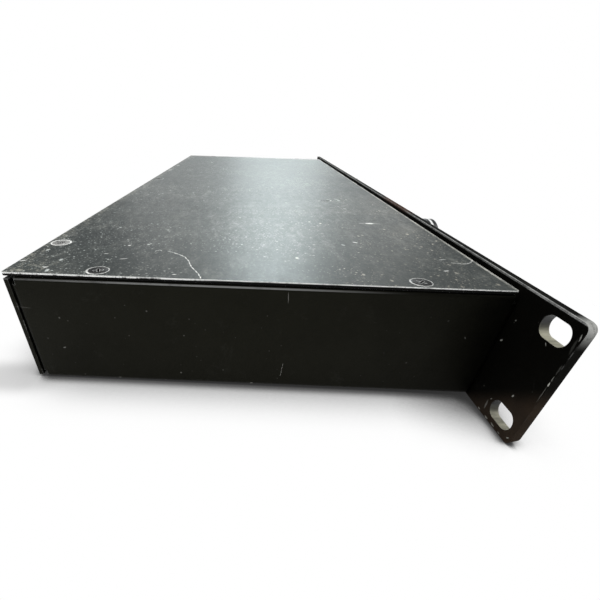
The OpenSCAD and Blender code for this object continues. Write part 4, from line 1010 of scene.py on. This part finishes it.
# ---- Status lights ----
# Two rows of clear light pipes with domed ends stand in the panel: green, with the last
# of each row amber and red, all unlit. Between them a plain scale of levels is printed.
pipe_at = solid_centres("status_lights")
pipe_lo, pipe_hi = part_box("status_lights")
pipe_len = (pipe_hi.y - pipe_lo.y) / MM
columns = sorted({round(at.x, 4) for at in pipe_at})
PIPE = [(1.5, -pipe_len), (1.5, -0.45), (1.38, -0.2), (1.0, -0.05), (0.45, 0)]
for label, tint, chosen in (
    ("green", (0.1, 0.42, 0.14), columns[:-2]), ("amber", (0.6, 0.3, 0.04), columns[-2:-1]),
    ("red", (0.5, 0.035, 0.03), columns[-1:]),
):
    own = [at for at in pipe_at if round(at.x, 4) in chosen]
    lens = clear_plastic("pipe_" + label, tint, 0.12, 0.55)
    lights = turned_on("status_lights_" + label, set_level(own, 1, pipe_lo.y), AHEAD, PIPE, lens)
    if label == "green":
        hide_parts("status_lights")
    fit_out(lights, None, "case")
meter_marks = []
rows = sorted({round(at.z, 4) for at in pipe_at})
for column, level in zip(columns, ("30", "20", "10", "6", "3", "0", "+3")):
    figure(meter_marks, level, (column, panel_face, 0.0), 0.0015)
    for row in rows:
        tick_at = (column, panel_face - 0.00002, row + (-0.0029 if row > 0 else 0.0029))
        flat_bar(meter_marks, tick_at, (0.0003, PRINT, 0.0012))
for row, channel in zip(reversed(rows), "12"):
    figure(meter_marks, channel, (columns[0] - 0.0065, panel_face, row), 0.002)
fit_out(joined("meter_scale", meter_marks), print_white, "case")

# ---- Power switch ----
# A snap-in rocker switch in glossy black plastic. Its rocker is marked with a white
# stroke for on and a white ring for off.
GLOSS_BLACK = (0.011, 0.011, 0.0115)
switch_black = turned_plastic("switch_black", GLOSS_BLACK, 0.26, (0.187, 0.0, 0.0), 0.004)
switch = softened("power_switch_body", "switch_frame", 0.00025)
fit_out(switch, switch_black, "case")
rocker_lo, rocker_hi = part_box("power_rocker")
rocker_middle = (rocker_lo + rocker_hi) / 2
mark_off = 0.55 * (rocker_hi.z - rocker_lo.z) / 2
rocker_black = turned_plastic("rocker_black", GLOSS_BLACK, 0.26, rocker_middle, 0.004)
at_x, at_y, at_z = rocker_black.axes()
stroke = at_x.band(rocker_middle.x, 0.00055) * at_z.band(rocker_middle.z + mark_off, 0.0021)
flat = add(rocker_black.tree, "ShaderNodeCombineXYZ", {0: at_x, 2: at_z})
ring_middle = (rocker_middle.x, 0.0, rocker_middle.z - mark_off)
ring = vectors(rocker_black, "DISTANCE", flat, ring_middle).band(0.0016, 0.00045)
print_on = (at_y < rocker_middle.y) * reckon("MAXIMUM", stroke, ring)
rocker_black.layer(print_on, (0.74, 0.74, 0.72))
rocker = softened("power_rocker", "switch_rocker", 0.00025)
fit_out(rocker, rocker_black, "power_rocker")

# ---- Sockets and their nuts ----
# The jacks, outputs and mains inlet are moulded in black plastic or die-cast and painted;
# the aerial sockets and all the round and hexagonal nuts are bright nickel on brass.


def moulded(name, rgb, rough, grain=0.12):
    """Moulded plastic with a fine spark-eroded grain and a little dust."""
    plastic = Finish(name, rgb, rough, specular=0.45)
    cloud = plastic.noise(120.0, 4.0, 0.6)
    plastic.layer(cloud.ramp(0.3, 0.75), shaded(rgb, 1.6))
    plastic.layer(specks(plastic, 620.0, 0.2, 0.06) * 0.3, (0.45, 0.45, 0.42))
    plastic.layer(rubbed_edges(plastic, 0.0003, 0.4, 0.65) * 0.35, (0.2, 0.2, 0.195))
    plastic.put("Roughness", cloud.ramp(0.3, 0.8, rough - 0.05, rough + 0.08))
    grained(plastic, 2100.0, grain, 0.0003)
    return plastic


def plated(name, rgb, rough, stain=(0.4, 0.36, 0.3), streak=EVEN):
    """Plated metal with faint stains and fine machining lines."""
    plate = Finish(name, rgb, rough, metal=1.0)
    cloud = plate.noise(150.0, 4.0, 0.65)
    plate.layer(cloud.ramp(0.3, 0.7), shaded(rgb, 0.82))
    plate.layer(plate.noise(40.0, 5.0, 0.7).ramp(0.55, 0.8) * 0.5, stain)
    plate.put("Roughness", cloud.ramp(0.3, 0.8, rough, rough + 0.12))
    bump(plate, plate.noise(700.0, 3.0, stretch=streak), 0.08, 0.0002)
    return plate


socket_black = moulded("socket_black", (0.013, 0.013, 0.0135), 0.42)
give(socket_black, "headphone_jack", "line_jack_a", "line_jack_b", "mains_inlet", "xlr_inserts")
shell_coat = moulded("shell_coat", (0.015, 0.015, 0.016), 0.48, grain=0.25)
give(shell_coat, "xlr_output_a", "xlr_output_b")
nickel = plated("nickel", (0.52, 0.5, 0.455), 0.22, streak=(1.0, 8.0, 1.0))
give(nickel, "control_nuts", "jack_nuts", "antenna_nuts", "antenna_socket_a", "antenna_socket_b")
give(plated("gold_flash", (0.83, 0.62, 0.28), 0.22, stain=(0.5, 0.34, 0.15)), "xlr_pins")
give(plated("tinned", (0.7, 0.7, 0.68), 0.3), "mains_pins", "shield_can_a", "shield_can_b")
give(plated("shaft_steel", (0.56, 0.56, 0.57), 0.28, streak=(1.0, 0.1, 1.0)),
     "wheel_shaft", "knob_shaft", "encoder_body", "pot_body")

# ---- Level switches ----
# Each output has a two-way slide switch behind the rear panel with an off-white slider.
# The push buttons' switches, on the front board, are of the sockets' black plastic too.
slider_white = moulded("slider_white", (0.5, 0.5, 0.47), 0.45)
give(slider_white, "level_slider_a", "level_slider_b")
give(socket_black, "level_switches", "button_switches")

# ---- Inside the case ----
# Zinc-plated brace, nuts and standoffs carry green boards with their chips, cans and
# wound parts; the receivers sit under tinned cans and a finned plate cools the supply.
zinc = plated("zinc", (0.6, 0.62, 0.64), 0.34, stain=(0.42, 0.41, 0.34), streak=(0.1, 1.0, 1.0))
give(zinc, "cross_brace", "clinch_nuts", "board_standoffs", "front_board_spacers", "board_screws")

mask_green = Finish("mask_green", (0.01, 0.07, 0.035), 0.3)
at_x, at_y, at_z = mask_green.axes()
board_plane = (at_x, at_y + at_z)


def in_grid(plane, pitch):
    """Where a point lies in a square grid: two numbers from -0.5 to 0.5 and the cell's luck."""
    tree = plane[0].tree
    steps = [along / pitch for along in plane]
    corner = {i: reckon("FLOOR", step) for i, step in enumerate(steps)}
    cell = add(tree, "ShaderNodeCombineXYZ", corner)
    luck = field(tree, "ShaderNodeTexWhiteNoise", {0: cell}, "Value")
    return [reckon("FRACT", step) - 0.5 for step in steps], luck


TRACK_PITCH, REGION, PAD_PITCH = 0.0011, 0.0088, 0.00254
runs, _ = in_grid(board_plane, TRACK_PITCH)
_, region = in_grid(board_plane, REGION)
one_way, other_way = (abs(run) < 0.17 for run in runs)
tracks = reckon("MAXIMUM", one_way * (region < 0.36), other_way * (region > 0.68))
spots, spot_luck = in_grid(board_plane, PAD_PITCH)
out = reckon("SQRT", spots[0] * spots[0] + spots[1] * spots[1])
pads = (out < 0.26) * (out > 0.1) * (spot_luck < 0.22)
mask_green.ground(mask_green.noise(40.0), (0.007, 0.05, 0.026), (0.011, 0.066, 0.034))
mask_green.layer(tracks * 0.85, (0.022, 0.125, 0.06))
mask_green.layer(pads, (0.62, 0.61, 0.56))
bump(mask_green, reckon("MAXIMUM", tracks, pads), 0.15, 0.0001)
give(mask_green, "main_board", "power_board", "receiver_board_a", "receiver_board_b", "front_board")

give(moulded("chip_black", grey(0.014), 0.5), "main_board_parts")
give(moulded("can_sleeve", (0.014, 0.02, 0.035), 0.34), "power_capacitors")

SHEET_PITCH = 0.0007
sheets = Finish("core_sheets", (0.2, 0.15, 0.1), 0.4, metal=0.3)
leaves = reckon("SINE", sheets.axes()[1] * (2 * math.pi / SHEET_PITCH))
sheets.ground(leaves.ramp(-0.6, 0.8), (0.07, 0.05, 0.035), (0.2, 0.16, 0.12))
bump(sheets, leaves, 0.3, 0.0002)
give(sheets, "power_transformer")
extruded = plated("extruded", (0.7, 0.71, 0.72), 0.4, stain=grey(0.5), streak=(1.0, 1.0, 0.05))
give(extruded, "power_heatsink")
give(moulded("lead_cover", (0.16, 0.165, 0.17), 0.5), "internal_wiring")
